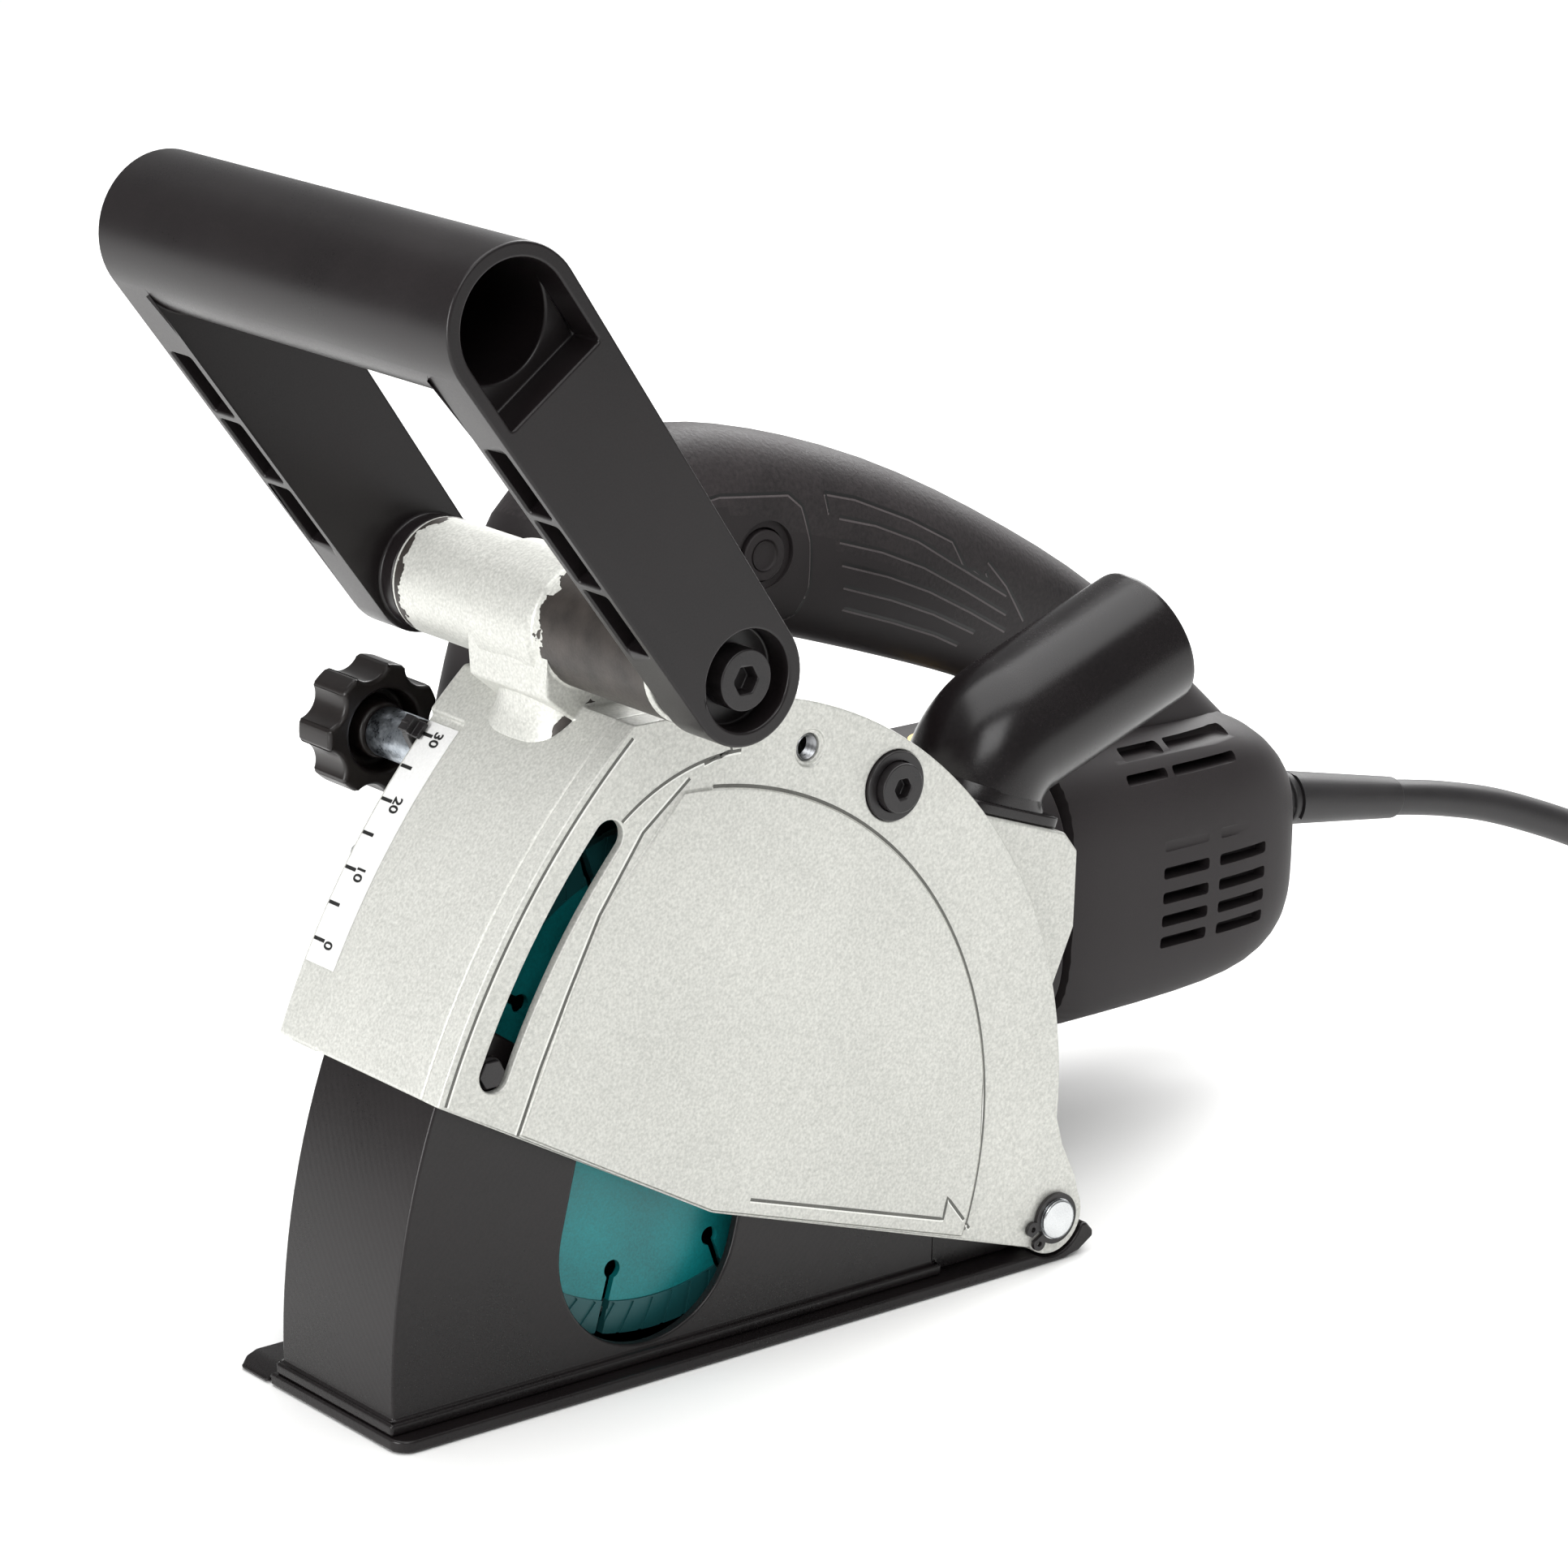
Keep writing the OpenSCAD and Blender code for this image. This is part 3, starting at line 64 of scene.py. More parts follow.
# small helpers
def srgb(hexText):
    out = []
    for i in (0, 2, 4):
        c = int(hexText[i:i + 2], 16) / 255
        out.append(c / 12.92 if c <= 0.04045 else ((c + 0.055) / 1.055) ** 2.4)
    return (*out, 1)


def addNode(material, kind, links=None, **settings):
    tree = material.node_tree
    node = tree.nodes.new(kind)
    for key, value in settings.items():
        setattr(node, key, value)
    for key, value in (links or {}).items():
        if isinstance(value, bpy.types.NodeSocket):
            tree.links.new(value, node.inputs[key])
        else:
            node.inputs[key].default_value = value
    return node


def newObject(name, mesh, material=None):
    obj = bpy.data.objects.new(name, mesh)
    bpy.context.scene.collection.objects.link(obj)
    if material:
        obj.data.materials.clear()
        obj.data.materials.append(material)
    return obj


def fromBmesh(name, bm, material=None):
    bmesh.ops.recalc_face_normals(bm, faces=bm.faces)
    mesh = bpy.data.meshes.new(name)
    bm.to_mesh(mesh)
    bm.free()
    return newObject(name, mesh, material)


# turns the piece's modifiers into its mesh
def bake(obj):
    graph = bpy.context.evaluated_depsgraph_get()
    graph.update()
    mesh = bpy.data.meshes.new_from_object(obj.evaluated_get(graph))
    obj.modifiers.clear()
    obj.data = mesh
    return obj


def shade(obj, angle=32):
    obj.data.shade_smooth()
    obj.data.set_sharp_from_angle(angle=math.radians(angle))
    normals = obj.modifiers.new("evenNormals", "WEIGHTED_NORMAL")
    normals.keep_sharp = True
    return obj


def place(obj, body, finish, *nodes):
    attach(obj, body)
    if nodes:
        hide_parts(*nodes)
    return obj


def cut(obj, tool):
    step = obj.modifiers.new("cut", "BOOLEAN")
    step.operation, step.solver, step.object = "DIFFERENCE", "EXACT", tool
    bake(obj)
    bpy.data.objects.remove(tool)
    return obj


# a copy of a CAD node's mesh with its flat faces made whole, ready for rounding
def nodeCopy(node, name, material):
    bm = bmesh.new()
    bm.from_mesh(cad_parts[node].data)
    bmesh.ops.remove_doubles(bm, verts=bm.verts, dist=2e-6)
    bmesh.ops.dissolve_limit(bm, angle_limit=math.radians(0.4), verts=bm.verts, edges=bm.edges)
    return fromBmesh(name, bm, material)


def soften(obj, width, segments=3, angle=30):
    edge = obj.modifiers.new("edge", "BEVEL")
    edge.width, edge.segments, edge.limit_method = width * mm, segments, "ANGLE"
    edge.angle_limit, edge.use_clamp_overlap = math.radians(angle), False
    edge.miter_outer = "MITER_ARC"
    return bake(obj)


# a block from an XZ outline in mm
def prism(bm, outline, y0, y1):
    a = [bm.verts.new((x * mm, y0 * mm, z * mm)) for x, z in outline]
    b = [bm.verts.new((x * mm, y1 * mm, z * mm)) for x, z in outline]
    bm.faces.new(a)
    bm.faces.new(b[::-1])
    for i in range(len(a)):
        j = (i + 1) % len(a)
        bm.faces.new((a[j], a[i], b[i], b[j]))


def loft(rings, name, material=None):
    bm = bmesh.new()
    rows = [[bm.verts.new(p * mm) for p in ring] for ring in rings]
    for a, b in zip(rows, rows[1:]):
        for i in range(len(a)):
            j = (i + 1) % len(a)
            bm.faces.new((a[i], a[j], b[j], b[i]))
    bm.faces.new(rows[0][::-1])
    bm.faces.new(rows[-1])
    return fromBmesh(name, bm, material)


def squircle(count, power):
    out = []
    for i in range(count):
        t = 2 * math.pi * (i + 0.5) / count
        c, s = math.cos(t), math.sin(t)
        out.append((math.copysign(abs(c) ** (2 / power), c), math.copysign(abs(s) ** (2 / power), s)))
    return out


def arc(centre, r, a0, a1, count=24):
    return [(centre[0] + r * math.cos(math.radians(a0 + (a1 - a0) * i / count)),
             centre[1] + r * math.sin(math.radians(a0 + (a1 - a0) * i / count))) for i in range(count + 1)]


def resample(points, step):
    out = [Vector(points[0])]
    for a, b in zip(points, points[1:]):
        a, b = Vector(a), Vector(b)
        count = max(1, round((b - a).length / step))
        out += [a.lerp(b, (i + 1) / count) for i in range(count)]
    return out


def subdivide(obj, levels):
    step = obj.modifiers.new("subdivide", "SUBSURF")
    step.levels = step.render_levels = levels
    return bake(obj)


# power cord
cord = {
    "radius": 5.0,
    "route": [(-197, -52, 65.6), (-205, -52, 64.2), (-218, -51.7, 61.6), (-236, -50.5, 57), (-256, -48.5, 49.8),
              (-276, -47.5, 41.3), (-297, -49.5, 31), (-318, -54.5, 20.5), (-340, -64, 11.8), (-362, -74, 6.6),
              (-385, -82, 5.1), (-408, -87, 5)],
    "coilCentre": (-435, -22),
    "coilRadii": (67, 56.5, 46),
    "layers": (5, 15.5),
    "tail": [(-457, -89, 15.5), (-480, -89, 16.5), (-500, -89, 17)],
}


def ease(t):
    return (1 - math.cos(math.pi * min(max(t, 0), 1))) / 2


# centre of the cord after this many degrees of winding: in on the lower layer, out on the upper
def coilPoint(turned):
    outer, middle, inner = cord["coilRadii"]
    low, high = cord["layers"]
    r = outer + (middle - outer) * ease((turned - 240) / 120) + (inner - middle) * ease((turned - 600) / 120)
    r += (middle - inner) * ease((turned - 1080) / 120) + (outer - middle) * ease((turned - 1440) / 120)
    z = low + (high - low) * ease((turned - 840) / 120)
    a = math.radians(270 - turned)
    return (cord["coilCentre"][0] + r * math.cos(a), cord["coilCentre"][1] + r * math.sin(a), z)


def makeCord():
    points = cord["route"] + [coilPoint(i * 15) for i in range(0, 121)] + cord["tail"]
    curve = bpy.data.curves.new("powerCord", "CURVE")
    curve.dimensions, curve.bevel_depth, curve.bevel_resolution = "3D", cord["radius"] * mm, 8
    curve.resolution_u, curve.use_fill_caps = 6, True
    spline = curve.splines.new("BEZIER")
    spline.bezier_points.add(len(points) - 1)
    smooth = [Vector(p) for p in points]
    for i, point in enumerate(smooth):
        before, after = smooth[max(i - 1, 0)], smooth[min(i + 1, len(smooth) - 1)]
        along = (after - before).normalized()
        knot = spline.bezier_points[i]
        knot.co = point * mm
        knot.handle_left_type = knot.handle_right_type = "FREE"
        knot.handle_left = (point - along * (point - before).length / 3) * mm
        knot.handle_right = (point + along * (after - point).length / 3) * mm
    obj = newObject("powerCord", curve)
    length = 0
    last = None
    for i in range(len(smooth) - 1):
        a, b = spline.bezier_points[i], spline.bezier_points[i + 1]
        for k in range(13):
            t = k / 12
            q = (a.co * (1 - t) ** 3 + a.handle_right * 3 * t * (1 - t) ** 2
                 + b.handle_left * 3 * t * t * (1 - t) + b.co * t ** 3)
            if last is not None:
                length += (q - last).length
            last = q
    print("cord length", round(length, 4))
    return obj, length


cordObject, cordLength = makeCord()
print("cord laid")


# finishes
def startMaterial(name, colour, roughness, metallic=0.0, ior=None):
    material = bpy.data.materials.new(name)
    material.use_nodes = True
    shader = material.node_tree.nodes["Principled BSDF"]
    shader.inputs["Base Color"].default_value = srgb(colour)
    shader.inputs["Roughness"].default_value = roughness
    shader.inputs["Metallic"].default_value = metallic
    if ior:
        shader.inputs["IOR"].default_value = ior
    return material, shader


# fine grain of this size in mm that shades the colour, the gloss and the relief; patch is the slow mottling
def grainOn(material, shader, size, depth, light, dark, rough, patch=30.0, cloud=0.5):
    tree = material.node_tree
    at = addNode(material, "ShaderNodeTexCoord").outputs["Object"]
    fine = addNode(material, "ShaderNodeTexNoise", {"Vector": at, "Scale": 1 / (size * mm), "Detail": 3.0})
    slow = addNode(material, "ShaderNodeTexNoise", {"Vector": at, "Scale": 1 / (patch * mm), "Detail": 2.0})
    calm = addNode(material, "ShaderNodeMapRange",
                   {"Value": slow.outputs["Fac"], "From Min": 0.0, "From Max": 1.0,
                    "To Min": 0.5 - cloud, "To Max": 0.5 + cloud})
    both = addNode(material, "ShaderNodeMath", {0: fine.outputs["Fac"], 1: calm.outputs[0]}, operation="ADD")
    share = addNode(material, "ShaderNodeMapRange",
                    {"Value": both.outputs[0], "From Min": 0.6, "From Max": 1.4, "To Min": 0.0, "To Max": 1.0})
    mix = addNode(material, "ShaderNodeMix", {"Factor": share.outputs[0]}, data_type="RGBA")
    mix.inputs[6].default_value, mix.inputs[7].default_value = srgb(dark), srgb(light)
    tree.links.new(mix.outputs[2], shader.inputs["Base Color"])
    gloss = addNode(material, "ShaderNodeMapRange",
                    {"Value": both.outputs[0], "From Min": 0.6, "From Max": 1.4,
                     "To Min": rough[0], "To Max": rough[1]})
    tree.links.new(gloss.outputs[0], shader.inputs["Roughness"])
    relief = addNode(material, "ShaderNodeBump",
                     {"Height": fine.outputs["Fac"], "Distance": depth * mm, "Strength": 1.0})
    tree.links.new(relief.outputs[0], shader.inputs["Normal"])
    return mix, fine, at


# textured aluminium-flake paint on a die casting: pale, with a fine sparkle of light and dark grains
def sandPaint():
    material, shader = startMaterial("sandTexturedPaint", "c9cac4", 0.45, 0.35)
    grainOn(material, shader, 0.7, 0.035, "dadad4", "9fa09b", (0.36, 0.52), 45.0, 0.12)
    return material


# painted shade on the boss: where it starts, how ragged its edge is, and its dark mottled colours
paintedShadeEnds = {"near": 8.5, "far": -44.5, "ragged": 2.6, "waveSize": 25 / 6, "blotchSize": 6.25,
            "dark": "0f0d0c", "light": "4b4541"}  # lengths in mm; past near and far the paint turns to painted shade


# the same paint with painted shade past a ragged edge at both ends: the near arm's cast shadow, dark and mottled, over
# the near half, and a thin dark band of shade by the far hub
def bossPaint():
    material, shader = startMaterial("silverPaintWithPaintedShade", "c9cac4", 0.45, 0.35)
    tree = material.node_tree
    mix, fine, at = grainOn(material, shader, 0.7, 0.035, "dadad4", "9fa09b", (0.36, 0.52), 45.0, 0.12)
    parts = addNode(material, "ShaderNodeSeparateXYZ", {0: at})
    wave = addNode(material, "ShaderNodeTexNoise",
                   {"Vector": at, "Scale": 1 / (paintedShadeEnds["waveSize"] * mm), "Detail": 3.0})
    ragged = addNode(material, "ShaderNodeMapRange",
                     {"Value": wave.outputs["Fac"], "From Min": 0.3, "From Max": 0.7,
                      "To Min": -paintedShadeEnds["ragged"] * mm, "To Max": paintedShadeEnds["ragged"] * mm})
    edge = addNode(material, "ShaderNodeMath", {0: parts.outputs["Y"], 1: ragged.outputs[0]}, operation="ADD")
    # painted shade mask: 1 past near or far, where the arm's shadow and the shade by the far hub are painted
    near = addNode(material, "ShaderNodeMath", {0: edge.outputs[0], 1: paintedShadeEnds["near"] * mm}, operation="GREATER_THAN")
    far = addNode(material, "ShaderNodeMath", {0: edge.outputs[0], 1: paintedShadeEnds["far"] * mm}, operation="LESS_THAN")
    paintedShadeMask = addNode(material, "ShaderNodeMath", {0: near.outputs[0], 1: far.outputs[0]}, operation="MAXIMUM")
    blotch = addNode(material, "ShaderNodeTexNoise",
                     {"Vector": at, "Scale": 1 / (paintedShadeEnds["blotchSize"] * mm), "Detail": 4.0})
    dark = addNode(material, "ShaderNodeMix", {"Factor": blotch.outputs["Fac"]}, data_type="RGBA")
    dark.inputs[6].default_value, dark.inputs[7].default_value = srgb(paintedShadeEnds["dark"]), srgb(paintedShadeEnds["light"])
    both = addNode(material, "ShaderNodeMix", {"Factor": paintedShadeMask.outputs[0]}, data_type="RGBA")
    tree.links.new(mix.outputs[2], both.inputs[6])
    tree.links.new(dark.outputs[2], both.inputs[7])
    tree.links.new(both.outputs[2], shader.inputs["Base Color"])
    return material


# glass-filled nylon or ABS from a mould: near black, its gloss a little uneven, its skin faintly grained
def mouldedBlack(name, look):
    material, shader = startMaterial(name, look["colour"], look["rough"][0], 0.0, 1.5)
    shader.inputs["Specular IOR Level"].default_value = look.get("mirror", 0.4)
    grainOn(material, shader, look["grain"], look["depth"], look["light"], look["dark"], look["rough"], look["patch"])
    return material


# machined or plated metal: bright, with a faint mottle from plating and handling
def bareMetal(name, look):
    material, shader = startMaterial(name, look["light"], look["rough"][0], 1.0)
    grainOn(material, shader, look["grain"], look["depth"], look["light"], look["dark"], look["rough"], look["patch"])
    return material


# semi-gloss black stoving paint over a moulded box whose walls keep fine sloping tool lines
def blackPaintedGuard():
    material, shader = startMaterial("blackStovingPaint", "171415", 0.3, 0.0, 1.5)
    shader.inputs["Specular IOR Level"].default_value = 0.3
    tree = material.node_tree
    mix, fine, at = grainOn(material, shader, 0.5, 0.008, "1b1718", "0d0b0b", (0.24, 0.36), 40.0)
    lines = addNode(material, "ShaderNodeTexWave", {"Vector": at, "Scale": 260.0, "Distortion": 1.2, "Detail": 1.0},
                    wave_type="BANDS", bands_direction="DIAGONAL")
    ridges = addNode(material, "ShaderNodeMath", {0: fine.outputs["Fac"], 1: lines.outputs["Fac"]}, operation="ADD")
    relief = addNode(material, "ShaderNodeBump", {"Height": ridges.outputs[0], "Distance": 0.006 * mm, "Strength": 1.0})
    tree.links.new(relief.outputs[0], shader.inputs["Normal"])
    return material


disc = {"centre": (114.7, 69.4), "rimStart": 54.5, "rimColour": "1d5356"}


# enamelled steel blank, its sintered rim a darker grey-teal
def tealDisc():
    material, shader = startMaterial("tealDiscEnamel", "0f7c80", 0.35, 0.1, 1.5)
    tree = material.node_tree
    mix, fine, at = grainOn(material, shader, 0.5, 0.004, "12898c", "0b6669", (0.3, 0.42), 20.0)
    x, z = disc["centre"]
    centred = addNode(material, "ShaderNodeVectorMath", {0: at, 1: (-x * mm, 0, -z * mm)}, operation="ADD")
    flat = addNode(material, "ShaderNodeVectorMath", {0: centred.outputs[0], 1: (1, 0, 1)}, operation="MULTIPLY")
    reach = addNode(material, "ShaderNodeVectorMath", {0: flat.outputs[0]}, operation="LENGTH")
    rim = addNode(material, "ShaderNodeMath", {0: reach.outputs["Value"], 1: disc["rimStart"] * mm},
                  operation="GREATER_THAN")
    both = addNode(material, "ShaderNodeMix", {"Factor": rim.outputs[0]}, data_type="RGBA")
    tree.links.new(mix.outputs[2], both.inputs[6])
    both.inputs[7].default_value = srgb(disc["rimColour"])
    tree.links.new(both.outputs[2], shader.inputs["Base Color"])
    return material


# pale painted casting: soft sparkle, no mirror
paint = sandPaint()
# painted shadow: the shade down in a scored line
paintedScoreShade = mouldedBlack("paintedShadowInScoredLine", {"colour": "5c5c58", "light": "686863", "dark": "4a4a46",
                                               "rough": (0.45, 0.6), "grain": 0.5, "depth": 0.01, "patch": 10.0})
# painted highlight: the bright lip a scored line catches
paintedLineHighlight = mouldedBlack("paintedHighlightOnLineEdge", {"colour": "e9e9e4", "light": "f2f2ee", "dark": "d6d6d0",
                                             "rough": (0.35, 0.5), "grain": 0.5, "depth": 0.01, "patch": 10.0})
# silver paint with painted shade at both ends: the near arm's shadow and a dark band by the far hub
bossFinish = bossPaint()
# near-black box with a low sheen and faint sloping lines
guardPaint = blackPaintedGuard()
# the one strong colour: teal blank, darker rim
discFinish = tealDisc()
# front grip: dark and smooth, with a clear soft highlight
gripNylon = mouldedBlack("glassFilledNylon", {"colour": "151112", "light": "1b1718", "dark": "0f0c0d", "mirror": 0.32,
                                              "rough": (0.26, 0.38), "grain": 0.5, "depth": 0.006, "patch": 30.0})
# nozzle, trigger and lock pin: the glossiest of the blacks
nozzlePlastic = mouldedBlack("polishedMouldedAbs", {"colour": "120e0f", "light": "181415", "dark": "0d0a0b",
                                                    "mirror": 0.34, "rough": (0.2, 0.3),
                                                    "grain": 0.8, "depth": 0.004, "patch": 25.0})
# handle and motor shells: matt charcoal
bodyPlastic = mouldedBlack("sparkErodedNylon", {"colour": "252122", "light": "2c2829", "dark": "1e1a1b", "mirror": 0.3,
                                                "rough": (0.5, 0.66), "grain": 0.35, "depth": 0.014, "patch": 40.0})
# handle overmould: pebbled and dull
softGrip = mouldedBlack("texturedElastomer", {"colour": "272324", "light": "353031", "dark": "1a1718", "mirror": 0.3,
                                              "rough": (0.5, 0.68), "grain": 1.1, "depth": 0.13, "patch": 30.0})
# star knob: hard black with a small highlight
knobPlastic = mouldedBlack("starKnobPhenolic", {"colour": "15100f", "light": "1c1716", "dark": "0f0b0a", "mirror": 0.35,
                                                "rough": (0.28, 0.42), "grain": 0.5, "depth": 0.006, "patch": 15.0})
# cord, its guard and its plug: dull dark grey
cordRubber = mouldedBlack("rubberSheath", {"colour": "222122", "light": "2b292a", "dark": "1a191a",
                                           "rough": (0.42, 0.58), "grain": 0.5, "depth": 0.01, "patch": 20.0})
# bolts and rings: dark, slightly oily
blackOxide = mouldedBlack("blackOxideSteel", {"colour": "151314", "light": "232021", "dark": "0d0b0c",
                                              "rough": (0.26, 0.42), "grain": 0.4, "depth": 0.006, "patch": 6.0})
# scale backing: smooth pale grey film
labelFilm = mouldedBlack("printedLabelFilm", {"colour": "cfcfce", "light": "d6d6d5", "dark": "c4c4c3",
                                              "rough": (0.34, 0.42), "grain": 0.6, "depth": 0.002, "patch": 20.0})
# printed marks, carbon brushes, and the painted shade down the handle's grooves: flat black
inkAndGrooveShade = mouldedBlack("labelInkAndGrooveShade", {"colour": "141414", "light": "1c1c1c", "dark": "101010",
                                     "rough": (0.4, 0.5), "grain": 0.4, "depth": 0.001, "patch": 10.0})
# painted highlight: the pale edge beside a groove in the handle
grooveLipHighlight = mouldedBlack("paintedHighlightOnGrooveLip", {"colour": "524c4d", "light": "5d5758", "dark": "453f40",
                                            "rough": (0.5, 0.6), "grain": 0.4, "depth": 0.006, "patch": 10.0})
# fan: off-white moulding
paleNylon = mouldedBlack("naturalNylon", {"colour": "d8d4c6", "light": "dedacd", "dark": "cbc7b8",
                                          "rough": (0.4, 0.5), "grain": 0.5, "depth": 0.005, "patch": 15.0})
# screws: bright blue-grey with blotches of plating
zincPlate = bareMetal("zincPlatedSteel", {"light": "c3c9cf", "dark": "7f8790", "rough": (0.22, 0.42),
                                          "grain": 0.7, "depth": 0.006, "patch": 3.0})
# bearings and pins: the brightest metal
groundSteel = bareMetal("groundSteel", {"light": "d9dbdc", "dark": "b8babc", "rough": (0.16, 0.28),
                                        "grain": 0.4, "depth": 0.003, "patch": 8.0})
# gears and springs: plain mid grey metal
machinedSteel = bareMetal("machinedGearSteel", {"light": "a9aaac", "dark": "85878a", "rough": (0.3, 0.42),
                                                "grain": 0.4, "depth": 0.004, "patch": 10.0})
# unpainted housings: soft pale metal
castAluminium = bareMetal("dieCastAluminium", {"light": "bfc1c1", "dark": "96999a", "rough": (0.42, 0.58),
                                               "grain": 0.6, "depth": 0.02, "patch": 20.0})
# windings: reddish enamelled metal
copperWire = bareMetal("enamelledCopper", {"light": "b8683a", "dark": "8a4724", "rough": (0.3, 0.42),
                                           "grain": 0.5, "depth": 0.01, "patch": 10.0})
# brush holders: yellow metal
brassStrip = bareMetal("stampedBrass", {"light": "d1b168", "dark": "a98a48", "rough": (0.28, 0.4),
                                        "grain": 0.5, "depth": 0.004, "patch": 8.0})
print("finishes made")

nodeFinish = {
    "sole_screws": zincPlate, "pin_circlips": blackOxide, "plunge_spring": machinedSteel, "depth_scale": labelFilm,
    "nozzle_screw": zincPlate, "gear_screws": zincPlate, "bearing_box": castAluminium,
    "bearing_box_screws": zincPlate, "spindle_bearings": groundSteel, "motor_bearings": groundSteel,
    "stator_core": machinedSteel, "field_coils": copperWire, "brush_holders": brassStrip,
    "carbon_brushes": inkAndGrooveShade, "fan_baffle": bodyPlastic, "handle_screws": zincPlate, "switch_body": bodyPlastic,
    "speed_controller": bodyPlastic, "cord_clamp": bodyPlastic, "lock_spring": machinedSteel, "spindle": machinedSteel,
    "ring_gear": machinedSteel, "inner_flange": machinedSteel, "disc_inner": discFinish, "disc_outer": discFinish,
    "spacer_rings": zincPlate, "lock_nut": blackOxide, "armature_shaft": groundSteel, "armature_core": machinedSteel,
    "commutator": copperWire, "cooling_fan": paleNylon, "pinion_gear": machinedSteel, "plug_pins": groundSteel,
}
for nodeName, finish in nodeFinish.items():
    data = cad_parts[nodeName].data
    data.materials.clear()
    data.materials.append(finish)
print("inner parts finished")


# pieces that keep the part's shape, with rounded edges
roundedParts = {
    # node: (new name, body, finish, slot, edge radius in mm)
    "sole_plate": ("solePlateRounded", "base", guardPaint, "black_casting", 0.7),
    "guard_box": ("guardBoxRounded", "base", guardPaint, "black_casting", 0.8),
    "hinge_pin": ("hingePinRounded", "base", groundSteel, "bright_steel", 0.7),
    "guide_bolt": ("guideBoltRounded", "base", blackOxide, "black_steel", 0.3),
    "wheel_case": ("wheelCaseRounded", "head", paint, "silver_paint", 0.8),
    "cover_bolt": ("coverBoltRounded", "head", blackOxide, "black_steel", 0.35),
    "gear_housing": ("gearHousingRounded", "head", castAluminium, "bare_aluminium", 2.0),
    "motor_housing": ("motorHousingRounded", "head", bodyPlastic, "black_matte_plastic", 0.8),
    "cord_guard": ("cordGuardRounded", "head", cordRubber, "cord_rubber", 0.7),
    "front_grip": ("frontGripRounded", "grip", gripNylon, "black_gloss_plastic", 0.7),
    "grip_bolts": ("gripBoltsRounded", "grip", blackOxide, "black_steel", 0.4),
    "stop_bolt": ("stopBoltRounded", "depth_stop", zincPlate, "zinc", 0.4),
    "stop_pointer": ("stopPointerRounded", "depth_stop", blackOxide, "black_steel", 0.3),
    "stop_knob": ("stopKnobRounded", "knob", knobPlastic, "black_gloss_plastic", 1.2),
    "trigger": ("triggerRounded", "trigger_body", nozzlePlastic, "black_gloss_plastic", 0.8),
    "lock_button": ("lockButtonRounded", "lock_off", bodyPlastic, "black_gloss_plastic", 0.6),
    "lock_pin": ("lockPinRounded", "shaft_lock", nozzlePlastic, "black_gloss_plastic", 0.5),
    "coil_tie": ("coilTieRounded", "head", softGrip, "soft_rubber", 0.3),
    "plug_body": ("plugBodyRounded", "head", cordRubber, "cord_rubber", 1.5),
}
for nodeName, (name, body, finish, slotName, radius) in roundedParts.items():
    place(shade(soften(nodeCopy(nodeName, name, finish), radius)), body, slotName, nodeName)
print("rounded parts made")

cordObject.data.materials.append(cordRubber)
place(cordObject, "head", "cord_rubber", "power_cord", "cord_coil")


# cover: rounded, with its scored lines laid on
def makeCover():
    piece = soften(nodeCopy("case_cover", "caseCoverRounded", paint), 0.45)
    place(shade(piece), "head", "silver_paint", "case_cover")
    return piece


coverPiece = makeCover()
print("cover made")


# narrow strips laid on a surface, each seen square on from the tool's left
def layLines(name, target, paths, width, material, body, slotName, lift=0.04):
    graph = bpy.context.evaluated_depsgraph_get()
    graph.update()
    tree = BVHTree.FromObject(target, graph)
    bm = bmesh.new()
    for path in paths:
        row = resample(path, 1.2)
        previous = None
        for i, p in enumerate(row):
            a, b = row[max(i - 1, 0)], row[min(i + 1, len(row) - 1)]
            n = Vector((-(b - a).y, (b - a).x)).normalized() * width / 2
            pair = []
            for q in (p + n, p - n):
                hit = tree.ray_cast(Vector((q.x * mm, 0.2, q.y * mm)), Vector((0, -1, 0)))[0]
                if hit is None:
                    break
                pair.append(bm.verts.new(hit + Vector((0, lift * mm, 0))))
            if len(pair) < 2:
                previous = None
                continue
            if previous:
                bm.faces.new((previous[0], previous[1], pair[1], pair[0]))
            previous = pair
    place(fromBmesh(name, bm, material), body, slotName)


coverLines = {
    "edge": arc((119.9, 46.5), 95.9, 96, 199, 60),
    "nose": [(116.6, 144.9), (129.8, 134.5), (142.0, 117.2), (151.0, 99.7), (158.5, 84), (164.6, 69.5)],
    "arrow": [(97, 38.9), (36.6, 20.0), (35.3, 25.2), (27.6, 15.4)],
    "turn": [(112.5, 147.6), (104.6, 149.6), (105.4, 152.4)],
    "bend": arc((103.6, 96.6), 52.5, 92, 52, 20),
    "rim": arc((0, 11.9), 196.9, 11, 47.5, 40),
    "dark": 0.8, "pale": 0.55,
}


def shifted(path, dx, dz):
    return [(x + dx, z + dz) for x, z in path]


# each cover line is a strip of painted shadow with a strip of painted highlight beside it; the rim one also marks the
# seam at the cover's front edge
for name, step in (("edge", (0.5, -0.45)), ("nose", (0.65, 0.3)), ("arrow", (0.1, -0.5)), ("turn", (0.1, -0.5)),
                   ("bend", (0.1, -0.6)), ("rim", (-0.6, -0.3))):
    layLines(name + "ScoreShade", coverPiece, [coverLines[name]], coverLines["dark"], paintedScoreShade,
             "head", "silver_paint", 0.03)
    layLines(name + "Glint", coverPiece, [shifted(coverLines[name], *step)], coverLines["pale"], paintedLineHighlight,
             "head", "silver_paint", 0.02)
print("cover lines laid")


# dust nozzle: one lofted skin, outside and in
nozzle = {"foot": (9.4, 115.4), "elbow": (5, 128), "mouth": (-47.3, 147.2), "y": 3, "radius": 18, "wall": 2.5,
          "flangeMid": (10, 113.75), "slope": 19}


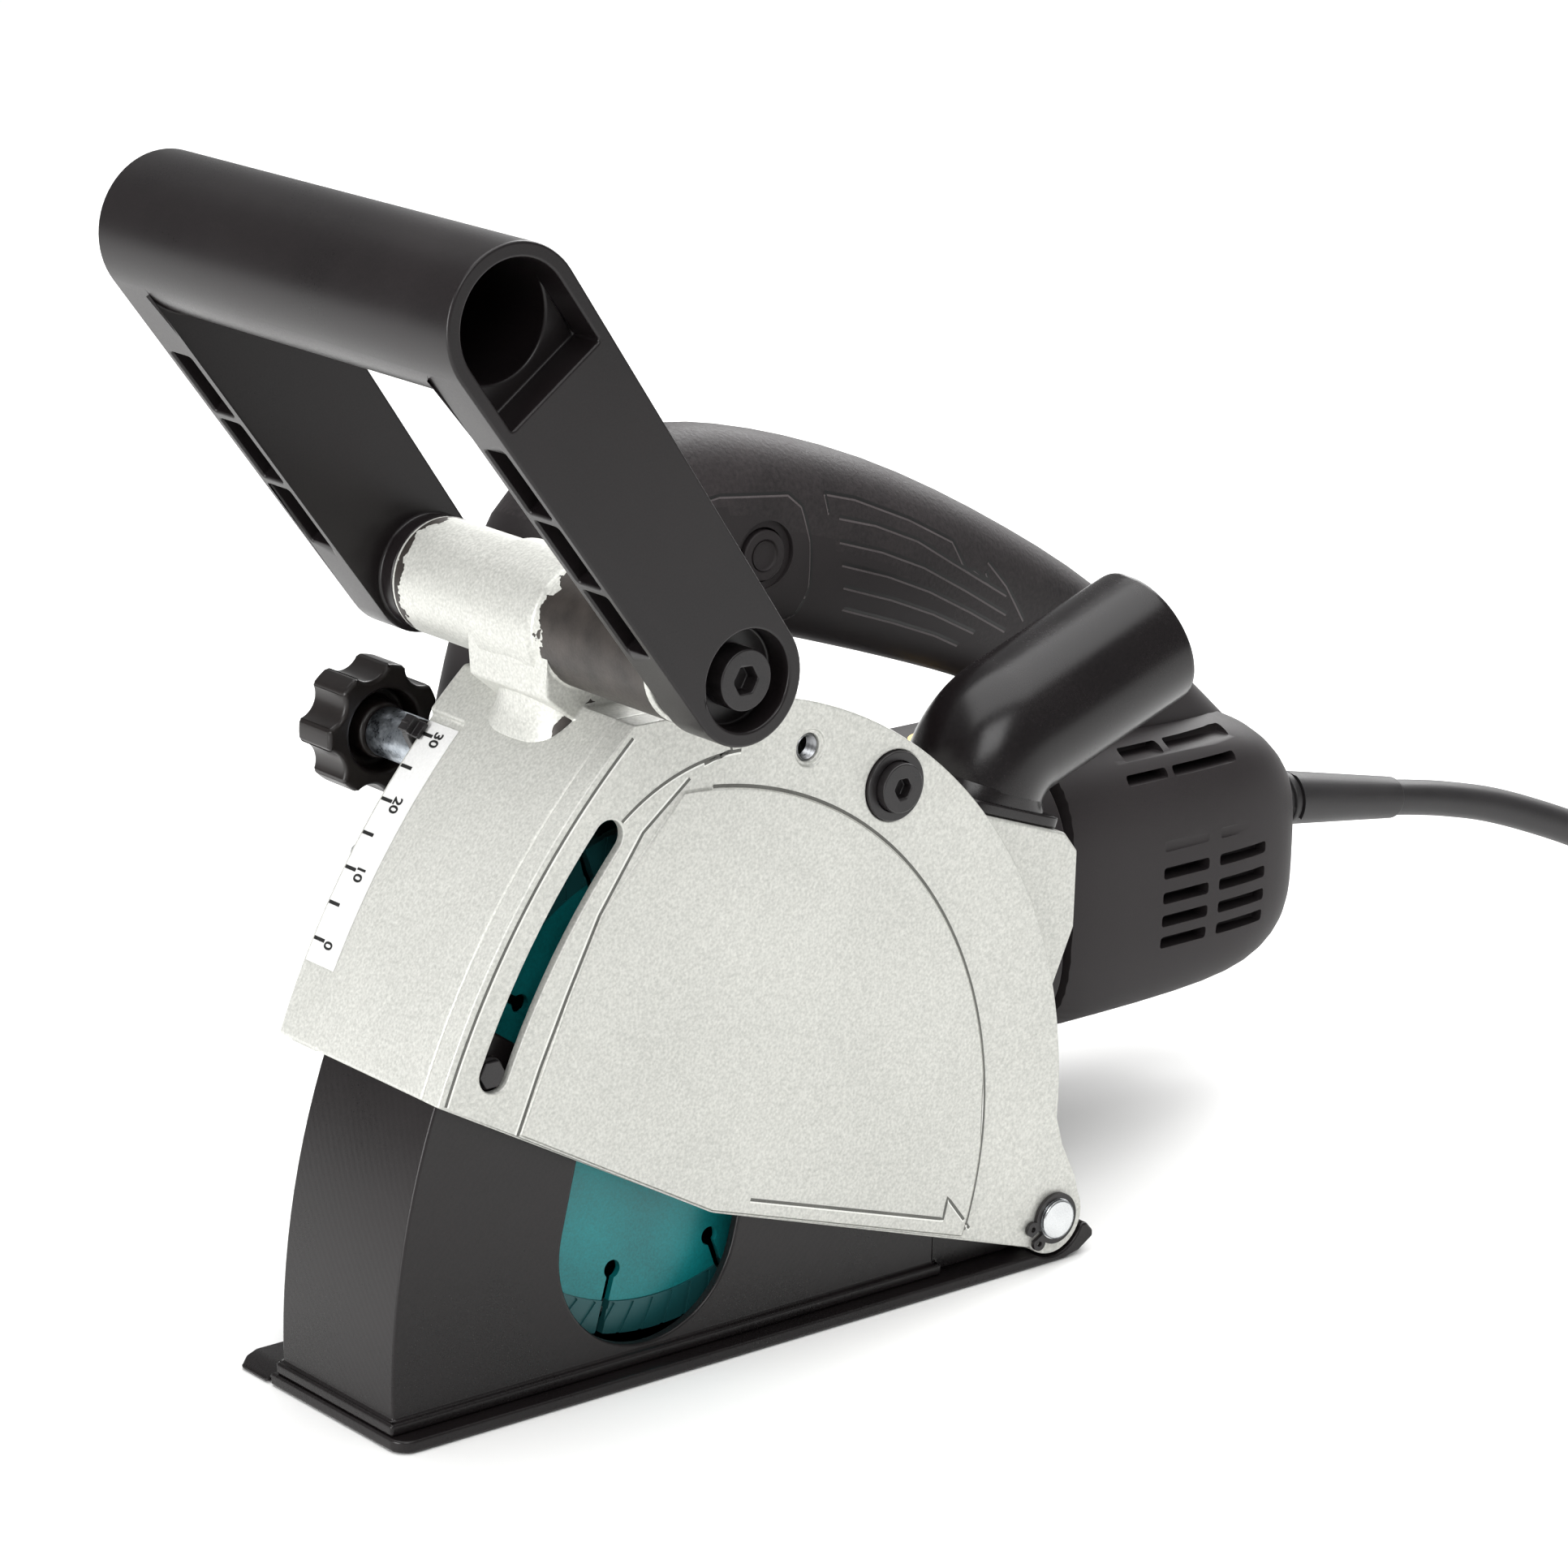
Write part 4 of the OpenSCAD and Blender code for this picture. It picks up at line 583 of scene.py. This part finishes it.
# ring across the tube's run, which points along angle in the XZ plane
def nozzleRing(at, angle, radius, power=2.0, squash=1.0):
    across = Vector((math.cos(math.radians(angle - 90)), 0, math.sin(math.radians(angle - 90))))
    return [Vector((at[0], nozzle["y"], at[1])) + across * radius * u * squash + Vector((0, radius * v, 0))
            for u, v in squircle(64, power)]


def makeNozzle():
    foot, elbow, mouth = (Vector(nozzle[k]) for k in ("foot", "elbow", "mouth"))
    a0 = math.degrees(math.atan2(elbow.y - foot.y, elbow.x - foot.x))
    a1 = math.degrees(math.atan2(mouth.y - elbow.y, mouth.x - elbow.x))
    d0, d1 = (elbow - foot).normalized(), (mouth - elbow).normalized()
    bend = nozzle["radius"] + 1.5
    reach = bend * math.tan(math.radians((a1 - a0) / 2))
    start, stop = elbow - d0 * reach, elbow + d1 * reach
    pivot = start + Vector((-d0.y, d0.x)) * bend
    flat = 90 + nozzle["slope"]
    mid = Vector(nozzle["flangeMid"])
    lift = Vector((math.cos(math.radians(flat)), math.sin(math.radians(flat))))
    rings = [nozzleRing(mid + lift * 0.2, flat, 17.2, 2.6), nozzleRing(mid + lift * 3.4, flat, 17.4, 2.5),
             nozzleRing(foot + d0 * 4.2, a0 + 3, 17.3, 2.2)]
    for i in range(17):
        turn = math.radians(a0 - 90 + (a1 - a0) * i / 16)
        at = pivot + Vector((math.cos(turn), math.sin(turn))) * bend
        rings.append(nozzleRing(at, a0 + (a1 - a0) * i / 16, nozzle["radius"] - 0.4 + 0.4 * i / 16))
    long = (mouth - stop).length
    for share in (0.25, 0.5, 0.75, 0.9, 0.97):
        rings.append(nozzleRing(stop + d1 * long * share, a1, nozzle["radius"]))
    rings.append(nozzleRing(mouth - d1 * 0.4, a1, nozzle["radius"] - 0.1))
    rings.append(nozzleRing(mouth, a1, nozzle["radius"] - 0.5))
    inner = nozzle["radius"] - nozzle["wall"]
    rings.append(nozzleRing(mouth, a1, inner + 0.5))
    rings.append(nozzleRing(mouth - d1 * 0.5, a1, inner))
    for share in (0.8, 0.5, 0.2, 0.0):
        rings.append(nozzleRing(stop + d1 * long * share, a1, inner - (1.5 if share < 0.3 else 0)))
    tube = loft(rings, "nozzleTube", nozzlePlastic)
    bm = bmesh.new()
    plate = []
    for rise in (0.15, 3.1):
        ring = []
        for u, v in squircle(48, 7):
            along = Vector((math.cos(math.radians(nozzle["slope"])), math.sin(math.radians(nozzle["slope"]))))
            p = mid + along * (u * 16 - 1) + lift * rise
            ring.append(bm.verts.new(Vector((p.x, nozzle["y"] + v * 18, p.y)) * mm))
        plate.append(ring)
    bm.faces.new(plate[0][::-1])
    bm.faces.new(plate[1])
    for i in range(48):
        bm.faces.new((plate[0][i], plate[0][(i + 1) % 48], plate[1][(i + 1) % 48], plate[1][i]))
    flange = soften(fromBmesh("nozzleFlange", bm, nozzlePlastic), 0.6)
    place(shade(tube, 50), "head", "black_gloss_plastic", "dust_nozzle")
    place(shade(flange), "head", "black_gloss_plastic")


makeNozzle()
print("nozzle made")


# rear handle and motor end
handle = {
    "y": -62, "half": 18,
    # inner point, outer point of each station, from the front foot round to the rear body
    "stations": [((75, 103), (124, 103)), ((76, 116), (121.5, 118)), ((75.5, 128), (118.5, 134)),
                 ((73.5, 139), (114.5, 150)), ((70, 147), (109, 168)), ((65, 152), (101.5, 187)),
                 ((58, 153.8), (86, 198.6)), ((50, 153), (68, 201.6)), ((40, 150.6), (52, 202.2)),
                 ((28, 147), (36, 199.8)), ((12, 142), (16, 194.6)), ((-6, 136.2), (-7, 186.6)),
                 ((-24, 130), (-31, 175.4)), ((-42, 123.5), (-55, 162.2)), ((-56, 117), (-76, 149.6)),
                 ((-66, 109), (-94, 136.2)), ((-76, 100), (-108, 123.8)), ((-88, 92), (-121, 111.2)),
                 ((-98, 86), (-133, 101.2)), ((-106, 78), (-143.5, 90.4)), ((-112, 68), (-150.5, 79.5))],
}
motorEnd = {"y": -62, "stations": [
    # x, half width, lowest z, highest z
    (-50.2, 37.4, 28.6, 106.2), (-56, 37.5, 28.4, 106.4), (-90, 37.4, 28.6, 106.4), (-112, 36.9, 29.6, 106.0),
    (-126, 35.2, 31.5, 104.0), (-136, 31.2, 35.0, 98.0), (-143, 26.5, 39.0, 91.5), (-148.5, 20.0, 45.0, 86.0),
    (-152, 12.5, 52.0, 81.0), (-152.9, 8.0, 57.0, 77.0)],
    # row height, and whether the slots of that row are blind
    "lowRows": [(78.4, True), (71.0, False), (64.2, False), (57.9, False), (51.9, False)],
    "highRows": [(102.2, -77), (96.9, -74.5)]}


def handleRing(inner, outer, half, power=2.5, count=40):
    mid, reach = (Vector(inner) + Vector(outer)) / 2, (Vector(outer) - Vector(inner)) / 2
    return [Vector((mid.x + reach.x * u, handle["y"] + half * v, mid.y + reach.y * u))
            for u, v in squircle(count, power)]


def makeHandle():
    rings = []
    for k, (inner, outer) in enumerate(handle["stations"]):
        half = handle["half"] + (1.0 if 14 < k < 18 else 0) - (1.5 if k > 18 else 0)
        rings.append(handleRing(inner, outer, half))
    grip = subdivide(loft(rings, "handleBow", bodyPlastic), 1)
    grip.data.materials.append(softGrip)
    for face in grip.data.polygons:
        c = face.center / mm
        # the elastomer covers the top of the bow, from behind the front corner to the motor end
        line = 186 - 0.0032 * (c.x - 62) ** 2 - (0.18 * abs(c.x - 62) if c.x < 62 else 0)
        if -88 < c.x < 98 and c.z > line:
            face.material_index = 1
    for radius, deep in ((8.8, -45.6), (6.9, -58)):
        bm = bmesh.new()
        prism(bm, arc((36, 170), radius, 0, 352.5, 47), deep, -38)
        cut(grip, fromBmesh("buttonTool", bm))
    rings = []
    for x, half, low, high in motorEnd["stations"]:
        rings.append([Vector((x, motorEnd["y"] + half * v, (low + high) / 2 + (high - low) / 2 * u))
                      for u, v in squircle(48, 3.6)])
    shell = subdivide(loft(rings, "motorEnd", bodyPlastic), 1)
    bm = bmesh.new()
    slots = []
    for z, blind in motorEnd["lowRows"]:
        slots.append((-84.8, z, 16.6, 3.2, -25.3 if blind else -31))
        slots.append((-105.4, z, 18.4, 3.2, -25.9 if blind else -31))
    for z, x in motorEnd["highRows"]:
        slots.append((x, z, 14.2, 2.6, -40.5))
        slots.append((x - 16.4, z, 23.5, 2.6, -40.5))
    for x, z, long, tall, deep in slots:
        h = tall / 2
        prism(bm, [(x, z - h), (x, z + h), (x - long, z + h), (x - long, z - h)], deep, -10)
    tool = fromBmesh("slotTool", bm)
    cut(shell, soften(tool, 0.8, 2, 60))
    place(shade(grip, 45), "head", "black_matte_plastic", "handle_left", "handle_right", "handle_overmould")
    place(shade(shell, 40), "head", "black_matte_plastic")
    return grip, shell


bow, shell = makeHandle()
print("handle made")


# boss and its neck, cast in one with the case
boss = {"at": (130.9, 178.5), "radius": 14, "half": 47.9, "band": (-16, 6)}


def bossCircle(radius, y, count=96):
    return [Vector((boss["at"][0] + radius * math.cos(2 * math.pi * i / count), y,
                    boss["at"][1] + radius * math.sin(2 * math.pi * i / count))) for i in range(count)]


def makeBoss():
    r, half, (y0, y1) = boss["radius"], boss["half"], boss["band"]
    steps = [(r - 1.2, -half), (r + 0.05, -half + 1.2), (r + 0.05, y0 - 0.9), (r + 0.5, y0 - 0.3), (r + 1.3, y0 + 0.5),
             (r + 1.3, y1 - 0.5), (r + 0.5, y1 + 0.3), (r + 0.05, y1 + 0.9), (r + 0.05, half - 1.2), (r - 1.2, half)]
    rings = []
    for (ra, ya), (rb, yb) in zip(steps, steps[1:]):
        parts = max(1, round(abs(yb - ya) / 3))
        rings += [bossCircle(ra + (rb - ra) * i / parts, ya + (yb - ya) * i / parts) for i in range(parts)]
    rings.append(bossCircle(*steps[-1]))
    sleeve = loft(rings, "bossSleeve", bossFinish)
    place(shade(sleeve, 40), "head", "silver_paint")
    sections = [  # z, middle x, middle y, half x, half y
        (177, 131.0, -3, 14.0, 12.8), (171, 131.2, -3, 13.2, 12.9), (166, 131.2, -3, 11.5, 13.0),
        (161, 131.0, -3.2, 10.1, 13.2), (157, 130.8, -3.8, 10.3, 14.0), (154, 130.6, -4.6, 11.0, 15.2),
        (151.6, 130.4, -5.4, 11.8, 16.6), (147, 130.0, -6.0, 12.6, 17.6), (142, 129.6, -6.4, 13.0, 18.2)]
    rings = [[Vector((x + hx * u, y + hy * v, z)) for u, v in squircle(48, 3.0)] for z, x, y, hx, hy in sections]
    # the neck's near side falls inside the same painted shade
    neck = subdivide(loft(rings, "bossNeck", bossFinish), 1)
    place(shade(neck, 60), "head", "silver_paint")


makeBoss()
print("boss made")


# depth scale marks and numerals
scale = {"radius": 197.74, "zero": 27.1, "perFive": 2.58, "tickY": (-34.7, -30.7), "tick": 0.85, "digitY": -30.2,
         "digit": 3.1, "pinZ": 11.9}


def onScale(angle, y, rise=0.0):
    r, a = scale["radius"] + rise, math.radians(angle)
    return Vector((r * math.cos(a), y, scale["pinZ"] + r * math.sin(a))) * mm


def makeScaleMarks():
    bm = bmesh.new()
    half = math.degrees(scale["tick"] / 2 / scale["radius"])
    y0, y1 = scale["tickY"]
    for i in range(7):
        a = scale["zero"] + scale["perFive"] * i
        corners = [(a - half, y0), (a + half, y0), (a + half, y1), (a - half, y1)]
        top = [bm.verts.new(onScale(*c, 0.06)) for c in corners]
        low = [bm.verts.new(onScale(*c, -0.06)) for c in corners]
        bm.faces.new(top)
        bm.faces.new(low[::-1])
        for k in range(4):
            bm.faces.new((top[k], top[(k + 1) % 4], low[(k + 1) % 4], low[k]))
    ticks = fromBmesh("scaleTicks", bm, inkAndGrooveShade)
    place(ticks, "head", "label")
    for i, text in ((0, "0"), (2, "10"), (4, "20"), (6, "30")):
        curve = bpy.data.curves.new("numeral" + text, "FONT")
        curve.body, curve.size, curve.extrude, curve.offset = text, scale["digit"] * 1.35, 0.04, 0.09
        curve.align_x, curve.resolution_u = "CENTER", 4
        source = newObject("numeral" + text, curve)
        graph = bpy.context.evaluated_depsgraph_get()
        graph.update()
        mesh = bpy.data.meshes.new_from_object(source.evaluated_get(graph))
        bpy.data.objects.remove(source)
        shift = 1.6 if text == "0" else 1.2
        for v in mesh.vertices:
            x, y, z = v.co
            angle = scale["zero"] + scale["perFive"] * i - math.degrees((x + shift * 0.4) / scale["radius"])
            v.co = onScale(angle, scale["digitY"] + y, z + 0.02)
        place(newObject("numeral" + text, mesh, inkAndGrooveShade), "head", "label")


makeScaleMarks()
print("scale marked")


# thread in the cover's top hole
thread = {"at": (81.2, 146), "y": (23.4, 27.5), "outer": 3.45, "inner": 2.85, "pitch": 1.25}


def makeThread():
    rings = []
    y, k = thread["y"][0], 0
    while y <= thread["y"][1]:
        r = thread["outer"] if k % 2 else thread["inner"]
        rings.append([Vector((thread["at"][0] + r * math.cos(2 * math.pi * i / 40), y,
                              thread["at"][1] + r * math.sin(2 * math.pi * i / 40))) for i in range(40)])
        y += thread["pitch"] / 2
        k += 1
    insert = loft(rings, "coverThread", machinedSteel)
    bm = bmesh.new()
    bm.from_mesh(insert.data)
    ends = [f for f in bm.faces if len(f.verts) == 40]
    bmesh.ops.delete(bm, geom=ends, context="FACES_ONLY")
    bm.to_mesh(insert.data)
    bm.free()
    place(shade(insert, 20), "head", "silver_paint")


makeThread()
print("thread made")


# scored lines on the handle's left side, drawn as strips of painted shade with strips of painted highlight beside them
handleLines = {
    "width": 0.75,
    "paths": [
        [(66, 185), (50, 187), (28, 184.5), (24, 181), (21.5, 172), (21, 160), (23, 153), (27, 150.5)],
        [(16, 183), (6, 180.2), (-12, 172.5), (-26, 165), (-30, 157), (-33, 156.5), (-38, 152.6), (-37, 155.5)],
        [(16, 183), (15.4, 178)],
        [(-38, 158), (-44, 151), (-50, 141)],
        [(12, 176.5), (0, 173), (-14, 167), (-26, 159.5), (-44, 148.5)],
        [(12, 170.5), (-2, 166), (-16, 160), (-30, 152), (-44, 143.5)],
        [(11, 164.5), (-4, 159.5), (-18, 153.5), (-32, 146), (-44, 139)],
        [(10, 158.5), (-6, 153), (-20, 147.2), (-34, 140)],
        [(9, 152.5), (-8, 146.5), (-22, 141), (-30, 137)],
    ],
}
# painted highlight strips along the lit side of each groove
layLines("handleGlint", bow, [shifted(path, 0.35, -0.6) for path in handleLines["paths"]], 0.5, grooveLipHighlight,
         "head", "black_matte_plastic", 0.03)
# painted shade strips down each groove, in the same flat black as the print
layLines("handleGrooveShade", bow, handleLines["paths"], handleLines["width"], inkAndGrooveShade, "head", "black_matte_plastic")
print("handle lines laid")


# floor and light
studio = {
    "floor": ("f4f4f3", 0.7, 6),  # colour, roughness, half side in metres
    "world": 0.32,
    "lights": [  # name, place, aimed at, size, watts
        ("keyLight", (0.9, 1.5, 1.5), (0.05, 0, 0.1), 1.0, 17),
        ("rimLight", (-1.5, -0.9, 1.3), (0, 0, 0.12), 1.4, 46),
        ("frontFill", (1.8, 0.1, 0.45), (0.1, 0, 0.1), 0.9, 26),
        ("topLight", (0.0, -0.1, 2.1), (0.05, 0, 0.1), 2.2, 48),
    ],
}


def setStage():
    colour, roughness, half = studio["floor"]
    bm = bmesh.new()
    bmesh.ops.create_grid(bm, x_segments=1, y_segments=1, size=half)
    floor = fromBmesh("floor", bm)
    material, shader = startMaterial("paleFloor", colour, roughness)
    floor.data.materials.append(material)
    floor.location.z = -0.0003
    for name, at, aim, size, watts in studio["lights"]:
        data = bpy.data.lights.new(name, "AREA")
        data.energy, data.size, data.shape = watts, size, "SQUARE"
        lamp = bpy.data.objects.new(name, data)
        bpy.context.scene.collection.objects.link(lamp)
        lamp.location = at
        lamp.rotation_euler = (Vector(aim) - Vector(at)).to_track_quat("-Z", "Y").to_euler()
    world = bpy.data.worlds.new("paleStudio")
    bpy.context.scene.world = world
    world.use_nodes = True
    world.node_tree.nodes["Background"].inputs["Color"].default_value = (1, 1, 1, 1)
    world.node_tree.nodes["Background"].inputs["Strength"].default_value = studio["world"]
    bpy.context.scene.view_settings.view_transform = "Standard"


setStage()
print("stage set")
